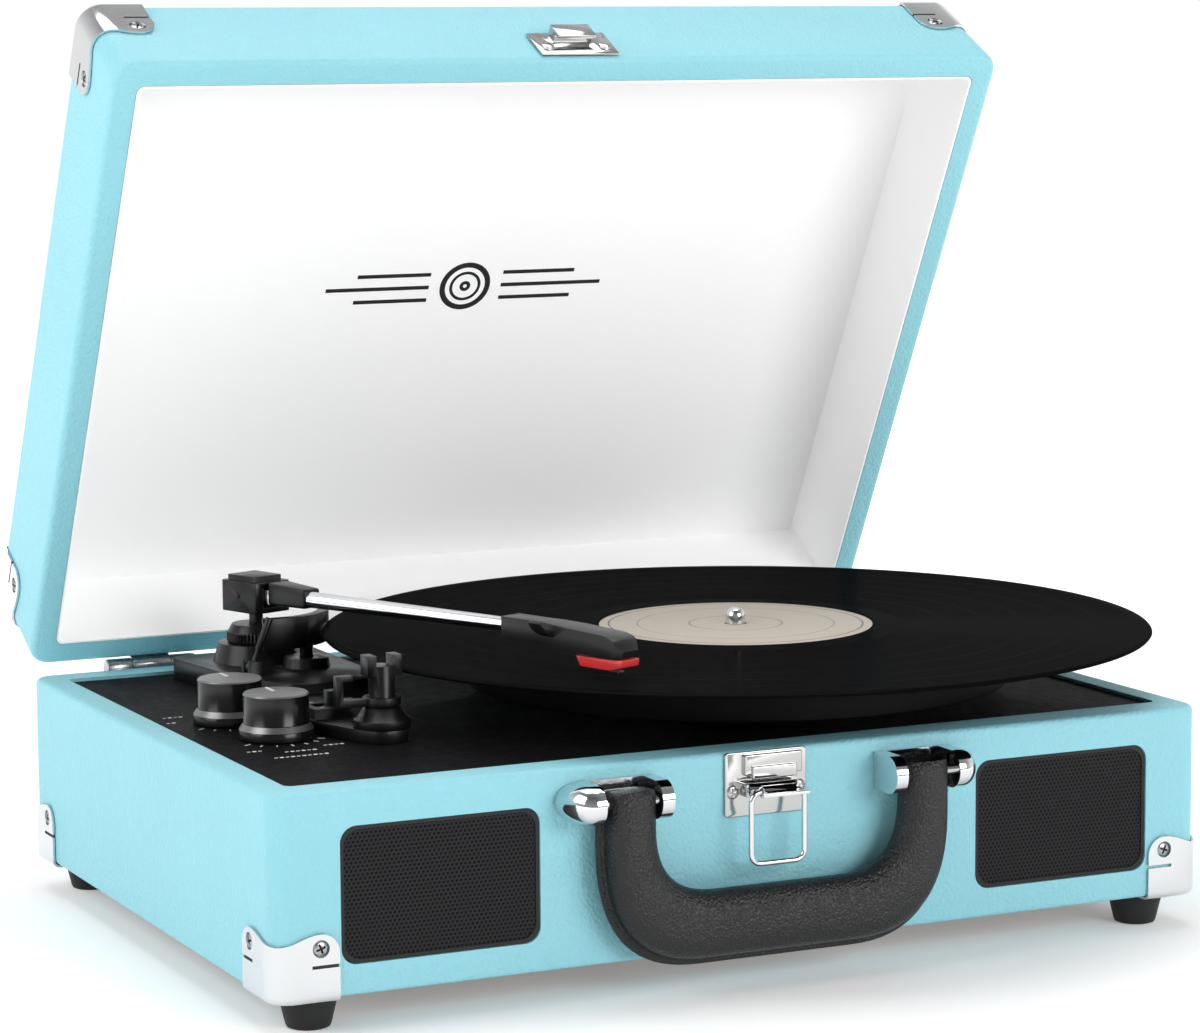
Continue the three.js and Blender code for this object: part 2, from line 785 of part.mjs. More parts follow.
function circuitBoard() {
  const x = spindleX - 20;
  const y = back - backWall - 45;
  const z = 14;
  const board = block(x, y, z, 90, 50, 1.6);
  const parts = [
    block(x - 30, y + 12, z + 1, 14, 14, 9), block(x + 4, y - 8, z + 1, 22, 12, 4),
    post(x - 24, y - 14, z + 1, z + 14, 5, 5, 16), post(x + 28, y - 12, z + 1, z + 14, 5, 5, 16),
    block(x + 32, y + 14, z + 1, 16, 10, 8),
  ];
  return joined(board, ...parts);
}

function signalJacks() {
  const wallIn = back - backWall - fit;
  const x0 = phonesX - 8;
  const x1 = rcaX + 8;
  const holder = box(x0, x1, wallIn - 9, wallIn, jackZ - 9, jackZ + 9);
  const barrels = [rcaX, rcaX - rcaPitch].map((x) =>
    barY(x, jackZ, wallIn - 1, back + 6, rcaRadius, 14));
  const socket = barY(phonesX, jackZ, wallIn - 1, back - 0.5, phonesRadius, 14);
  const bore = barY(phonesX, jackZ, back - 12, back, 1.8, 12);
  return cut(joined(holder, ...barrels, socket), bore);
}

function dcInlet() {
  const wallIn = back - backWall - fit;
  const holder = block(dcX, wallIn - 5, jackZ - 6.5, 13, 10, 13);
  const barrel = barY(dcX, jackZ, wallIn - 1, back - 0.5, dcRadius, 14);
  const bore = barY(dcX, jackZ, back - 9, back, 2.75, 16);
  const contact = barY(dcX, jackZ, back - 10, back - 2, 0.9, 10);
  return joined(cut(joined(holder, barrel), bore), contact);
}

// ---------------------------------------------------------------- tonearm

// The moulded base: a thick plate round the pivot, stepping down to the selector and arm rest.
function tonearmBase() {
  const backPlate = prism(softPolygon([
    [pivotX - 27, pivotY + 22], [pivotX - 20, pivotY - 34], [pivotX - 8, pivotY - 60],
    [pivotX + 20, pivotY - 60], [pivotX + 29, pivotY - 44], [pivotX + 29, pivotY + 22],
  ], 6), armBaseZ, backPlateTop, 4);
  const frontPlate = prism(softPolygon([
    [selectorX - selectorWidth / 2 - 1, pivotY - 50],
    [selectorX - selectorWidth / 2 - 1, selectorY - selectorDepth / 2 - 2],
    [postX - postFlangeRadius, postY - 1], [postX - 5, postY - postFlangeRadius],
    [postX + 5, postY - postFlangeRadius], [postX + postFlangeRadius, postY],
    [postX + postFlangeRadius + 2, selectorY], [pivotX + 24, pivotY - 50],
  ], 4), armBaseZ, frontPlateTop, 4);
  const plinth = post(pivotX, pivotY, backPlateTop - 1, backPlateTop + plinthHeight,
    plinthRadius, plinthRadius - 2.4, 24);
  const [liftX, liftY] = liftPlace();
  const pedestal = post(liftX, liftY, backPlateTop - 1, backPlateTop + 3.6, 9, 8.4, 20);
  const bezel = block(selectorX, selectorY, frontPlateTop - 1, selectorWidth, selectorDepth,
    1 + selectorHeight);
  const slot = block(selectorX, selectorY, frontPlateTop + 0.6, selectorWidth - 5, sliderSize + 1,
    selectorHeight + 1);
  const bush = post(liftX, liftY, armBaseZ + 1, backPlateTop + 6, 2.5 + fit, 2.5 + fit, 16);
  const [leverX, leverY] = leverPlace();
  const ears = [-1, 1].map((side) =>
    block(leverX, leverY + side * 3.1, backPlateTop - 1, 5, 1.8, 6));
  const pin = barY(leverX, leverZ, leverY - 3.5, leverY + 3.5, 0.9, 12);
  return joined(cut(joined(backPlate, frontPlate, plinth, pedestal, bezel), slot, bush), ...ears, pin);
}

function armRest() {
  const low = frontPlateTop + fit;
  const top = low + postHeight;
  const flange = turned([
    [0, low], [postFlangeRadius, low], [postFlangeRadius, low + 2.6],
    [postFlangeRadius - 1.4, low + 3.4], [postRadius + 1.6, low + 7], [0, low + 7],
  ], postX, postY, 20);
  const column = post(postX, postY, low + 5, top - forkDepth, postRadius, postRadius, 16);
  const fork = block(postX, postY, top - forkDepth - 3.4, forkWidth, 6.4, forkDepth + 3.4);
  const mouth = block(postX, postY, top - forkDepth, forkGap, 10, forkDepth + 1);
  return joined(flange, column, cut(fork, mouth));
}

// The clip: a collar round the column with a hooked finger that closes over the tube.
function armClip() {
  const low = frontPlateTop + fit + 7 + fit;
  const inner = postRadius + fit;
  const collar = turned([
    [inner, low], [inner + 1.8, low], [inner + 1.8, low + 3], [inner, low + 3], [inner, low],
  ], postX, postY, 16);
  const arm = block(postX - inner - clipReach / 2 - 0.6, postY, low, clipReach, 3.4, 2.6);
  const tip = postX - inner - clipReach;
  const finger = block(tip, postY, low, 2.4, 3.4, clipHeight);
  const hook = block(tip + 1.8, postY, low + clipHeight - 2, 6, 3.4, 2);
  return joined(collar, arm, finger, hook);
}

function speedSlider() {
  const low = frontPlateTop + 0.6 + fit;
  const foot = block(selectorX, selectorY, low, sliderSize + 1, sliderSize, 2);
  const cap = block(selectorX, selectorY, low + 1, sliderSize, sliderSize, selectorHeight + 3);
  return joined(foot, cap);
}

// Where the lift bar's stem stands: on the bar's own circle, half way along it.
function liftPlace() {
  const angle = rad((liftFrom + liftTo) / 2);
  return [pivotX + liftRadius * Math.sin(angle), pivotY - liftRadius * Math.cos(angle)];
}

function leverPlace() {
  return [pivotX - 13, pivotY - liftRadius - liftWall / 2 - 3.2];
}

const leverZ = backPlateTop + 2.6;
const liftTop = tiltZ - tubeRootRadius - liftTravel - 0.5;

function liftBar() {
  const low = liftTop - liftHeight;
  const from = rad(liftFrom) - Math.PI / 2;
  const to = rad(liftTo) - Math.PI / 2;
  const shape = new THREE.Shape();
  shape.absarc(pivotX, pivotY, liftRadius + liftWall / 2, from, to, false);
  shape.absarc(pivotX, pivotY, liftRadius - liftWall / 2, to, from, true);
  shape.closePath();
  const [x, y] = liftPlace();
  const stem = post(x, y, backPlateTop - 4, low + 1, 2.5, 2.5, 16);
  return joined(prism(shape, low, liftTop, 5), stem);
}

function liftLever() {
  const [x, y] = leverPlace();
  const eye = cut(barY(x, leverZ, y - 1.9, y + 1.9, 2.3, 16), barY(x, leverZ, y - 3, y + 3, 0.9 + fit, 12));
  const stem = post(0, 0, 1.8, leverStem * 0.4, 0.9, 0.9, 12);
  const grip = post(0, 0, leverStem * 0.36, leverStem, 1.3, 1.3, 12);
  const rod = joined(stem, grip).rotateY(rad(leverLean)).translate(x, y, leverZ);
  return joined(eye, rod);
}

// The parts below are made along +X from the pivot, then turned into place together.
function armTurret() {
  return turned([
    [0, turretZ], [turretRadius, turretZ], [turretRadius, turretZ + 3.6],
    [turretRadius - 1.6, turretZ + turretHeight], [neckRadius, turretZ + turretHeight],
    [neckRadius, turretZ + turretHeight + neckHeight], [0, turretZ + turretHeight + neckHeight],
  ], 0, 0, 24);
}

function pivotBlock() {
  const top = blockZ + blockHeight;
  const half = blockLength / 2;
  const body = prism(softPolygon([
    [-half, -blockWidth / 2], [half, -blockWidth / 2], [half, blockWidth / 2], [-half, blockWidth / 2],
  ], 1.8), blockZ, top, 2);
  const lid = block(-0.5, 0, top - 0.2, blockLength - 5, blockWidth - 4, blockCap + 0.2);
  const slotLow = tiltZ - holderBottom - 1.2;
  const slotTop = tiltZ + holderTop + 2.3;
  const slot = box(-5.2, half + 1, -holderWidth / 2 - fit, holderWidth / 2 + fit, slotLow, slotTop);
  const pin = barY(0, tiltZ, -blockWidth / 2 - 0.6, blockWidth / 2 + 0.6, tiltPinRadius, 12);
  return joined(cut(joined(body, lid), slot), pin);
}

const shellStart = armLength - shellLength + shellPastStylus;

// The carrier on the cross pin and the tapering tube in it, as one bar along +X at height 0.
function armTube() {
  const half = holderWidth / 2;
  const carrier = box(-4, blockLength / 2 + 3, -half, half, -holderBottom, holderTop);
  const nose = new THREE.CylinderGeometry(tubeRootRadius + 0.1, 3.7, 8, 16)
    .rotateZ(-Math.PI / 2).translate(blockLength / 2 + 6, 0, 0);
  const root = blockLength / 2 + 2.2;
  const tip = shellStart + 8;
  const tube = new THREE.CylinderGeometry(tubeTipRadius, tubeRootRadius, tip - root, 20)
    .rotateZ(-Math.PI / 2).translate((tip + root) / 2, 0, 0);
  const bore = barY(0, 0, -half - 1, half + 1, tiltPinRadius + fit, 12);
  return cut(joined(carrier, nose, tube), bore);
}

// A side view of the headshell raised across its width, then cut for the tube.
function headshell() {
  const side = new THREE.Shape();
  const start = shellStart;
  const end = start + shellLength;
  side.moveTo(start, -3.4);
  side.lineTo(start + socketLength, -3.6);
  side.lineTo(start + socketLength + 12, -5.6);
  side.lineTo(end - 4, shellUnder);
  side.lineTo(end - 0.5, shellUnder + 0.2);
  side.lineTo(end, shellUnder + 2.6);
  side.quadraticCurveTo(end - 1.5, 0.4, end - 8, 1.2);
  side.lineTo(start + socketLength + 6, 3);
  side.lineTo(start, 3.4);
  side.closePath();
  const body = prism(side, -shellWidth / 2, shellWidth / 2, 4).rotateX(Math.PI / 2);
  const plan = new THREE.Shape();
  const slim = 4.4;
  plan.moveTo(start - 1, -slim);
  plan.lineTo(start + socketLength, -slim);
  plan.lineTo(start + socketLength + 16, -shellWidth / 2);
  plan.lineTo(end - 3, -shellWidth / 2 + 0.4);
  plan.lineTo(end + 1, -shellWidth / 2 + 3);
  plan.lineTo(end + 1, shellWidth / 2 - 3);
  plan.lineTo(end - 3, shellWidth / 2 - 0.4);
  plan.lineTo(start + socketLength + 16, shellWidth / 2);
  plan.lineTo(start + socketLength, slim);
  plan.lineTo(start - 1, slim);
  plan.closePath();
  const shaped = common(body, prism(plan, -20, 20));
  const socket = barX(0, 0, start - 1, start + 8 + fit, tubeTipRadius + 0.35, 20);
  return cut(shaped, socket);
}

const shellUnder = -6.6;
const cartridgeTop = shellUnder - fit;

function cartridge() {
  const end = shellStart + shellLength;
  const low = cartridgeTop - cartridgeHeight;
  const shape = new THREE.Shape();
  shape.moveTo(end - cartridgeLength, cartridgeTop);
  shape.lineTo(end - cartridgeLength + 2.2, low + 0.3);
  shape.lineTo(end - 6, low);
  shape.lineTo(end - 0.5, low + 1.4);
  shape.lineTo(end, cartridgeTop);
  shape.closePath();
  return prism(shape, -cartridgeWidth / 2, cartridgeWidth / 2).rotateX(Math.PI / 2);
}

function stylus() {
  const x = armLength;
  const low = cartridgeTop - cartridgeHeight - fit;
  const foot = box(x - 3, x + 1.5, -1.2, 1.2, low - 0.5, low);
  const tip = new THREE.CylinderGeometry(0.5, 0.12, 1.3, 10).rotateX(Math.PI / 2)
    .translate(x, 0, low - 0.8);
  return joined(foot, tip);
}

// ---------------------------------------------------------------- assembly

add('base_shell', baseShell(), turquoise);
add('bottom_panel', bottomPanel(), wood);
add('deck_panel', deckPanel(), blackVinyl);
for (const [name, side] of [['left', -1], ['right', 1]]) {
  const face = front + 0.6;
  add(`speaker_grille_${name}`, grilleBlock(side, face, face + grilleThickness, -fit), darkGrille);
  add(`speaker_driver_${name}`, speakerDriver(side), blackPlastic);
}

const lid = new THREE.Group();
const lidParts = new THREE.Group();
lid.position.set(0, hingeY, hingeZ);
lid.rotation.x = -rad(lidAngle);
lidParts.position.set(0, -hingeY, -hingeZ);
lid.add(lidParts);
player.add(lid);

const cap = cornerCap();
for (const [name, sx, sy] of [
  ['front_left', 1, 1], ['front_right', -1, 1], ['back_left', 1, -1], ['back_right', -1, -1],
]) {
  const x = -sx * caseWidth / 2;
  const y = -sy * caseDepth / 2;
  const footX = x + sx * footInsetX;
  const footY = y + sy * footInsetY;
  const placed = mirrored(cap, sx, sy, 1).translate(x, y, 0);
  const footHole = post(footX, footY, -5, 5, footTopRadius + fit);
  add(`base_corner_${name}`, cut(placed, footHole), chrome);
  add(`foot_${name}`, baseFoot(footX, footY), blackRubber);
  add(`lid_corner_${name}`, mirrored(cap, sx, sy, -1).translate(x, y, lidTop), chrome, lidParts);
}

add('latch_plate', latchBase(), chrome);
add('latch_lever', latchLever(), chrome);
add('latch_bail', latchBail(), chrome);
add('handle_bracket_left', handleBracket(-1), chrome);
add('handle_bracket_right', handleBracket(1), chrome);
add('handle', handleGrip(), leatherBlack);

hingePair(-hingeSpread, 'left', lidParts);
hingePair(hingeSpread, 'right', lidParts);
add('lid_shell', lidShell(), turquoise, lidParts);
add('lid_lining', lidTray(), white, lidParts);
add('lid_catch', lidCatch(), chrome, lidParts);

add('spindle_bearing', spindleBearing(), steel);
add('spindle', spindleShaft(), chrome);
add('platter', platterDish(), blackPlastic);
add('slipmat', washer(spindleRadius + fit, platterRadius - 2, slipmatZ,
  slipmatZ + slipmatThickness), felt);
add('vinyl_record', recordDisc(), recordBlack);
add('record_label', washer(spindleRadius + fit + 0.3, labelRadius,
  recordTop - labelThickness + 0.1, recordTop + 0.1), labelPaper);
add('motor', driveMotor(), steel);
add('motor_pulley', drivePulley(), greyPlastic);
add('drive_belt', driveBelt(), blackRubber);

add('volume_knob', knob(volumeX, volumeY), blackPlastic);
add('function_knob', knob(knobX, knobY), blackPlastic);
add('volume_pot', pot(volumeX, volumeY), steel);
add('function_switch', pot(knobX, knobY), steel);
add('circuit_board', circuitBoard(), boardGreen);
add('signal_jacks', signalJacks(), blackPlastic);
add('dc_inlet', dcInlet(), blackPlastic);

add('tonearm_base', tonearmBase(), blackPlastic);
add('arm_rest', armRest(), blackPlastic);
add('arm_clip', armClip(), blackPlastic);
add('speed_slider', speedSlider(), blackPlastic);
add('lift_bar', liftBar(), blackPlastic);
add('lift_lever', liftLever(), blackPlastic);

const arm = new THREE.Group();
arm.position.set(pivotX, pivotY, 0);
arm.rotation.z = rad(armAngle - 90);
player.add(arm);
add('arm_turret', armTurret(), blackPlastic, arm);
add('pivot_block', pivotBlock(), blackPlastic, arm);

const tilting = new THREE.Group();
tilting.position.set(0, 0, tiltZ);
tilting.rotation.y = -rad(armSlope);
arm.add(tilting);
add('arm_tube', armTube(), chrome, tilting);
add('headshell', headshell(), greyPlastic, tilting);
add('cartridge', cartridge(), red, tilting);
add('stylus', stylus(), steel, tilting);

// The origin is the middle of the lowest face of the box around the whole player.
player.updateMatrixWorld(true);
const bounds = new THREE.Box3().setFromObject(player);
player.position.set(
  -(bounds.min.x + bounds.max.x) / 2, -(bounds.min.y + bounds.max.y) / 2, -bounds.min.z);
player.updateMatrixWorld(true);

export default player;
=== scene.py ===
"""Suitcase record player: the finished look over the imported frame. Sizes are millimetres, turned into
metres by mm(). The front of the case faces -Y, the hinges are at +Y, and the tonearm is on the -X side."""

import json
import math

import bmesh
import bpy
from mathutils import Matrix, Vector


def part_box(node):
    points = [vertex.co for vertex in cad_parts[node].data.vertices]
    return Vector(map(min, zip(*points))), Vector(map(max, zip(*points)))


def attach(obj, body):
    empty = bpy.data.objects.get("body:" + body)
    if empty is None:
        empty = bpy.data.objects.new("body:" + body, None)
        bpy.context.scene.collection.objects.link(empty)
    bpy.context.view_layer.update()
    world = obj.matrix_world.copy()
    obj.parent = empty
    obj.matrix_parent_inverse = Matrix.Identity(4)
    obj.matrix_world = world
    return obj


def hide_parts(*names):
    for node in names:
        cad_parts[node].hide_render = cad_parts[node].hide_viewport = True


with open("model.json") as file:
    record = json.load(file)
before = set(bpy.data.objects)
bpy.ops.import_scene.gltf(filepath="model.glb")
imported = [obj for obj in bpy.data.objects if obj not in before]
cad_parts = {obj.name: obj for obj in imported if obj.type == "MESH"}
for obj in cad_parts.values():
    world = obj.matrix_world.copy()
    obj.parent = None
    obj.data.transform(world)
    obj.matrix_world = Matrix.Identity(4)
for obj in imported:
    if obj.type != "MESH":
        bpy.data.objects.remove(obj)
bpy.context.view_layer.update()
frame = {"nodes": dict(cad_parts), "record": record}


# ------------------------------------------------------------------ viewpoint, floor and light
# A long lens at the height of the open lid, a pale sweep of paper under the player, large soft boxes
# to the left, above and in front, and a room that is white behind the player and dim elsewhere. The
# paper glows more the further it lies from the player, so that it runs into the white room.

def mm(*values):
    """Millimetres to metres, one value or several."""
    scaled = tuple(value / 1000 for value in values)
    return scaled[0] if len(scaled) == 1 else scaled


lens = bpy.data.cameras.new("viewpoint")
lens.lens = 112.0
lens.sensor_width = 36.0
lens.clip_end = 30.0
viewpoint = bpy.data.objects.new("viewpoint", lens)
viewpoint.location = (-0.59011, -1.21091, 0.3138)
viewpoint.rotation_euler = [math.radians(angle) for angle in (82.72, 0.384, -25.63)]
bpy.context.scene.collection.objects.link(viewpoint)
bpy.context.scene.camera = viewpoint
bpy.context.scene.view_settings.view_transform = "Standard"


def soft_box(name, place, aim, width, height, power):
    light = bpy.data.lights.new(name, "AREA")
    light.shape = "RECTANGLE"
    light.size = width
    light.size_y = height
    light.energy = power
    holder = bpy.data.objects.new(name, light)
    holder.location = place
    holder.rotation_euler = (Vector(aim) - Vector(place)).to_track_quat("-Z", "Y").to_euler()
    bpy.context.scene.collection.objects.link(holder)


soft_box("soft_box_left", (-2.2, -0.2, 1.3), (0, 0, 0.15), 1.6, 1.8, 33)
soft_box("soft_box_front", (0.9, -2.4, 0.9), (0, 0, 0.15), 1.5, 1.1, 34)
soft_box("soft_box_top", (0.1, 0.5, 2.2), (0, 0, 0), 1.8, 1.4, 27)


def wired(tree, kind, inputs=(), **settings):
    """Adds a shader node with its settings, each input given a value or joined to a socket."""
    made = tree.nodes.new("ShaderNode" + kind)
    for name, value in settings.items():
        setattr(made, name, value)
    for name, value in dict(inputs).items():
        if isinstance(value, bpy.types.NodeSocket):
            tree.links.new(value, made.inputs[name])
        else:
            made.inputs[name].default_value = value
    return made


def sum_of(tree, operation, *values):
    """The result of one sum on values or sockets."""
    return wired(tree, "Math", enumerate(values), operation=operation).outputs[0]


def spread_over(tree, value, before, after=(0, 1)):
    """A value that runs over the range before, spread over the range after."""
    ends = zip(("From Min", "From Max", "To Min", "To Max"), (*before, *after))
    return wired(tree, "MapRange", {"Value": value, **dict(ends)}).outputs["Result"]


world = bpy.data.worlds.new("studio")
world.use_nodes = True
room = world.node_tree
look = wired(room, "TexCoord").outputs["Generated"]
to_back = wired(room, "VectorMath", {0: look, 1: (0.43, 0.90, 0)}, operation="DOT_PRODUCT").outputs["Value"]
upwards = wired(room, "SeparateXYZ", {0: look}).outputs["Z"]
brightness = sum_of(room, "MULTIPLY", spread_over(room, to_back, (-0.55, 0.2), (0.32, 1.0)),
                    spread_over(room, upwards, (0.2, 0.8), (1.0, 0.4)))
room.links.new(brightness, room.nodes["Background"].inputs["Strength"])
room.nodes["Background"].inputs["Color"].default_value = (1, 1, 1, 1)
bpy.context.scene.world = world

paper = bpy.data.materials.new("paper_sweep")
paper.use_nodes = True
paper_face = paper.node_tree.nodes["Principled BSDF"].inputs
paper_face["Base Color"].default_value = (0.88, 0.88, 0.88, 1)
paper_face["Roughness"].default_value = 0.9
paper_face["Emission Strength"].default_value = 1.0
paper_spot = wired(paper.node_tree, "TexCoord").outputs["Object"]
away_from_player = wired(paper.node_tree, "VectorMath", {0: paper_spot}, operation="LENGTH").outputs["Value"]
paper.node_tree.links.new(spread_over(paper.node_tree, away_from_player, (0.45, 1.3), (0.2, 0.95)),
                          paper_face["Emission Color"])
floor_form = bmesh.new()
bmesh.ops.create_grid(floor_form, x_segments=1, y_segments=1, size=3)
floor_mesh = bpy.data.meshes.new("floor")
floor_form.to_mesh(floor_mesh)
floor_form.free()
floor_mesh.materials.append(paper)
floor = bpy.data.objects.new("floor", floor_mesh)
bpy.context.scene.collection.objects.link(floor)


# ------------------------------------------------------------------ base of the case
# Four board walls covered in a turquoise leatherette, wrapped round softened edges, with one window
# for each speaker in the front and round holes for the sockets at the back.

def sized_group(name, *outputs):
    """A new shader group: its tree, its Size socket and the inputs of its output node."""
    group = bpy.data.node_groups.new(name, "ShaderNodeTree")
    group.interface.new_socket("Size", in_out="INPUT", socket_type="NodeSocketFloat")
    for output in outputs:
        group.interface.new_socket(output, in_out="OUTPUT", socket_type="NodeSocketFloat")
    size = group.nodes.new("NodeGroupInput").outputs["Size"]
    return group, size, group.nodes.new("NodeGroupOutput").inputs


def handling_marks():
    """Shader group: slow cloudiness and fine specks, as handling leaves them. Both values lie near 0.5."""
    group, size, made = sized_group("handling_marks", "Cloud", "Speck")
    where = wired(group, "TexCoord").outputs["Object"]
    for output, scale, detail in (("Cloud", size, 3), ("Speck", sum_of(group, "MULTIPLY", size, 14), 2)):
        noise = wired(group, "TexNoise", {"Vector": where, "Scale": scale, "Detail": detail})
        group.links.new(noise.outputs["Fac"], made[output])
    return group


def pressed_grain():
    """Shader group: rounded pebbles with creases between them, as pressed into leatherette."""
    group, size, made = sized_group("pressed_grain", "Height")
    where = wired(group, "TexCoord").outputs["Object"]
    pebbles = wired(group, "TexVoronoi", {"Vector": where, "Scale": size, "Smoothness": 0.4},
                    feature="SMOOTH_F1")
    swell_size = sum_of(group, "MULTIPLY", size, 0.45)
    swell = wired(group, "TexNoise", {"Vector": where, "Scale": swell_size, "Detail": 2})
    height = sum_of(group, "SUBTRACT", swell.outputs["Fac"], pebbles.outputs["Distance"])
    group.links.new(height, made["Height"])
    return group


marks, grain = handling_marks(), pressed_grain()


def finish(name, colour, rough, metal=0.0, cloud=0.08, grain_size=None, depth=0.0, coat=0.0, specular=0.5):
    """One finish: a colour with slow cloudiness, a roughness with specks, and a pressed or fine relief."""
    material = bpy.data.materials.new(name)
    material.use_nodes = True
    tree = material.node_tree
    shader = tree.nodes["Principled BSDF"]
    for socket, value in (("Metallic", metal), ("Coat Weight", coat), ("Specular IOR Level", specular)):
        shader.inputs[socket].default_value = value
    wear = wired(tree, "Group", {"Size": 18}, node_tree=marks)
    tone = wired(tree, "Mix", {"A": (*[channel * (1 - cloud) for channel in colour], 1),
                               "B": (*[min(1, channel * (1 + cloud)) for channel in colour], 1),
                               "Factor": wear.outputs["Cloud"]}, data_type="RGBA")
    polish = spread_over(tree, wear.outputs["Speck"], (0, 1), (max(0.02, rough * 0.8), min(1, rough * 1.2)))
    height = wear.outputs["Speck"]
    if grain_size:
        height = wired(tree, "Group", {"Size": 1000 / grain_size}, node_tree=grain).outputs["Height"]
    relief = wired(tree, "Bump", {"Strength": 1.0, "Distance": mm(depth or 0.01), "Height": height},
                   name="relief")
    tree.links.new(tone.outputs["Result"], shader.inputs["Base Color"])
    tree.links.new(polish, shader.inputs["Roughness"])
    tree.links.new(relief.outputs["Normal"], shader.inputs["Normal"])
    return material


def eased(form, edges, offset, steps, clamp=False):
    """Rounds edges of a form."""
    bmesh.ops.bevel(form, geom=edges, offset=offset, segments=steps, profile=0.5, affect="EDGES",
                    clamp_overlap=clamp, material=-1)


def board(x, y, z, upright, edge, upright_steps=10, edge_steps=4):
    """A block between two values each way, its four upright edges rounded, then its level ones."""
    form = bmesh.new()
    bmesh.ops.create_cube(form, size=1)
    size = Vector((x[1] - x[0], y[1] - y[0], z[1] - z[0]))
    bmesh.ops.scale(form, vec=size, verts=form.verts)
    middle = Vector((x[0] + x[1], y[0] + y[1], z[0] + z[1])) / 2
    bmesh.ops.translate(form, vec=middle, verts=form.verts)
    if upright:
        corners = [e for e in form.edges if abs(e.verts[0].co.z - e.verts[1].co.z) > size.z / 2]
        eased(form, corners, upright, upright_steps)
    if edge:
        rims = [e for e in form.edges if len(e.link_faces) == 2
                and abs(e.verts[0].co.z - e.verts[1].co.z) < 1e-7 and e.calc_face_angle() > 1]
        eased(form, rims, edge, edge_steps)
    return form


def worked(form, *steps):
    """A form after cutting, joining or keeping what it shares with others: steps are (operation, form)."""
    def loose(bm, name):
        mesh = bpy.data.meshes.new(name)
        bm.to_mesh(mesh)
        bm.free()
        holder = bpy.data.objects.new(name, mesh)
        bpy.context.scene.collection.objects.link(holder)
        return holder

    stock = loose(form, "stock")
    tools = [loose(tool, "tool") for _, tool in steps]
    for (operation, _), tool in zip(steps, tools):
        step = stock.modifiers.new("step", "BOOLEAN")
        step.operation = operation
        step.solver = "EXACT"
        step.object = tool
    state = bpy.context.evaluated_depsgraph_get()
    mesh = bpy.data.meshes.new_from_object(stock.evaluated_get(state))
    result = bmesh.new()
    result.from_mesh(mesh)
    for holder in [stock, *tools]:
        used = holder.data
        bpy.data.objects.remove(holder)
        bpy.data.meshes.remove(used)
    bpy.data.meshes.remove(mesh)
    bmesh.ops.remove_doubles(result, verts=result.verts, dist=1e-6)
    return result


def fitted(form, name, material, body, slot, *nodes, sharp=35):
    """Makes a form a piece of the player: smooth where it curves, riding on a body, standing for nodes."""
    mesh = bpy.data.meshes.new(name)
    bmesh.ops.recalc_face_normals(form, faces=form.faces)
    form.to_mesh(mesh)
    form.free()
    mesh.polygons.foreach_set("use_smooth", [True] * len(mesh.polygons))
    mesh.set_sharp_from_angle(angle=math.radians(sharp))
    for each in material if isinstance(material, (list, tuple)) else [material]:
        mesh.materials.append(each)
    piece = bpy.data.objects.new(name, mesh)
    bpy.context.scene.collection.objects.link(piece)
    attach(piece, body)
    if nodes:
        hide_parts(*nodes)
    return piece


def swung(form, axis, angle=math.pi / 2):
    """A form turned about an axis through the origin, by a quarter turn unless told otherwise."""
    bmesh.ops.rotate(form, matrix=Matrix.Rotation(angle, 3, axis), verts=form.verts)
    return form


def upright_board(x, y, z, corner, edge, *steps):
    """A block standing on the front, its four corners rounded as seen from the front."""
    return swung(board(x, z, (-y[1], -y[0]), corner, edge, *steps), "X")


def window(side, y, gap):
    """The rounded opening of one speaker window, standing across the front wall from y[0] to y[1]."""
    low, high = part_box(f"speaker_grille_{side}")
    return upright_board((low.x - gap, high.x + gap), y, (low.z - gap, high.z + gap), mm(5.5), 0)


def middle_of(node):
    """The middle of a CAD node's box."""
    low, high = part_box(node)
    return (low + high) / 2


def rod(radius, length, axis=None, place=(0, 0, 0), steps=32):
    """A round bar along Z, or swung a quarter turn about the axis given, with its middle at a place."""
    form = bmesh.new()
    bmesh.ops.create_cone(form, cap_ends=True, segments=steps, radius1=radius, radius2=radius, depth=length)
    if axis:
        swung(form, axis)
    bmesh.ops.translate(form, vec=place, verts=form.verts)
    return form


turquoise = finish("turquoise_leatherette", (0.27, 0.60, 0.68), 0.5, cloud=0.04, grain_size=1.2, depth=0.24,
                   specular=0.35)
case_low, case_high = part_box("base_shell")
wall_side, wall_front = mm(10), mm(13.5)
shell = board((case_low.x, case_high.x), (case_low.y, case_high.y), (case_low.z, case_high.z), mm(8), mm(2))
well = board((case_low.x + wall_side, case_high.x - wall_side),
             (case_low.y + wall_front, case_high.y - wall_front),
             (case_low.z - 0.01, case_high.z + 0.01), mm(3), 0, 5)
front_windows = [window(side, (case_low.y - 0.01, case_low.y + wall_front + 0.005), mm(0.3))
                 for side in ("left", "right")]
jacks_low, jacks_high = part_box("signal_jacks")
jacks_z, inlet = middle_of("signal_jacks").z, middle_of("dc_inlet")
socket_holes = [rod(radius, 0.05, "X", (x, case_high.y, z)) for radius, x, z in (
    (mm(4.5), jacks_high.x - mm(8), jacks_z), (mm(4.5), jacks_high.x - mm(22), jacks_z),
    (mm(3.7), jacks_low.x + mm(8), jacks_z), (mm(5.3), inlet.x, inlet.z))]
cuts = [("DIFFERENCE", form) for form in [well, *front_windows, *socket_holes]]
fitted(worked(shell, *cuts), "case_walls", turquoise, "case", "turquoise_wrap", "base_shell")


def refinish(material, *nodes):
    """Gives CAD nodes, whose shape is right as it is, their real finish."""
    for node in nodes:
        mesh = frame["nodes"][node].data
        mesh.materials.clear()
        mesh.materials.append(material)


fibre_board = finish("fibre_board", (0.16, 0.11, 0.07), 0.8, cloud=0.25, grain_size=0.8, depth=0.05)
refinish(fibre_board, "bottom_panel")


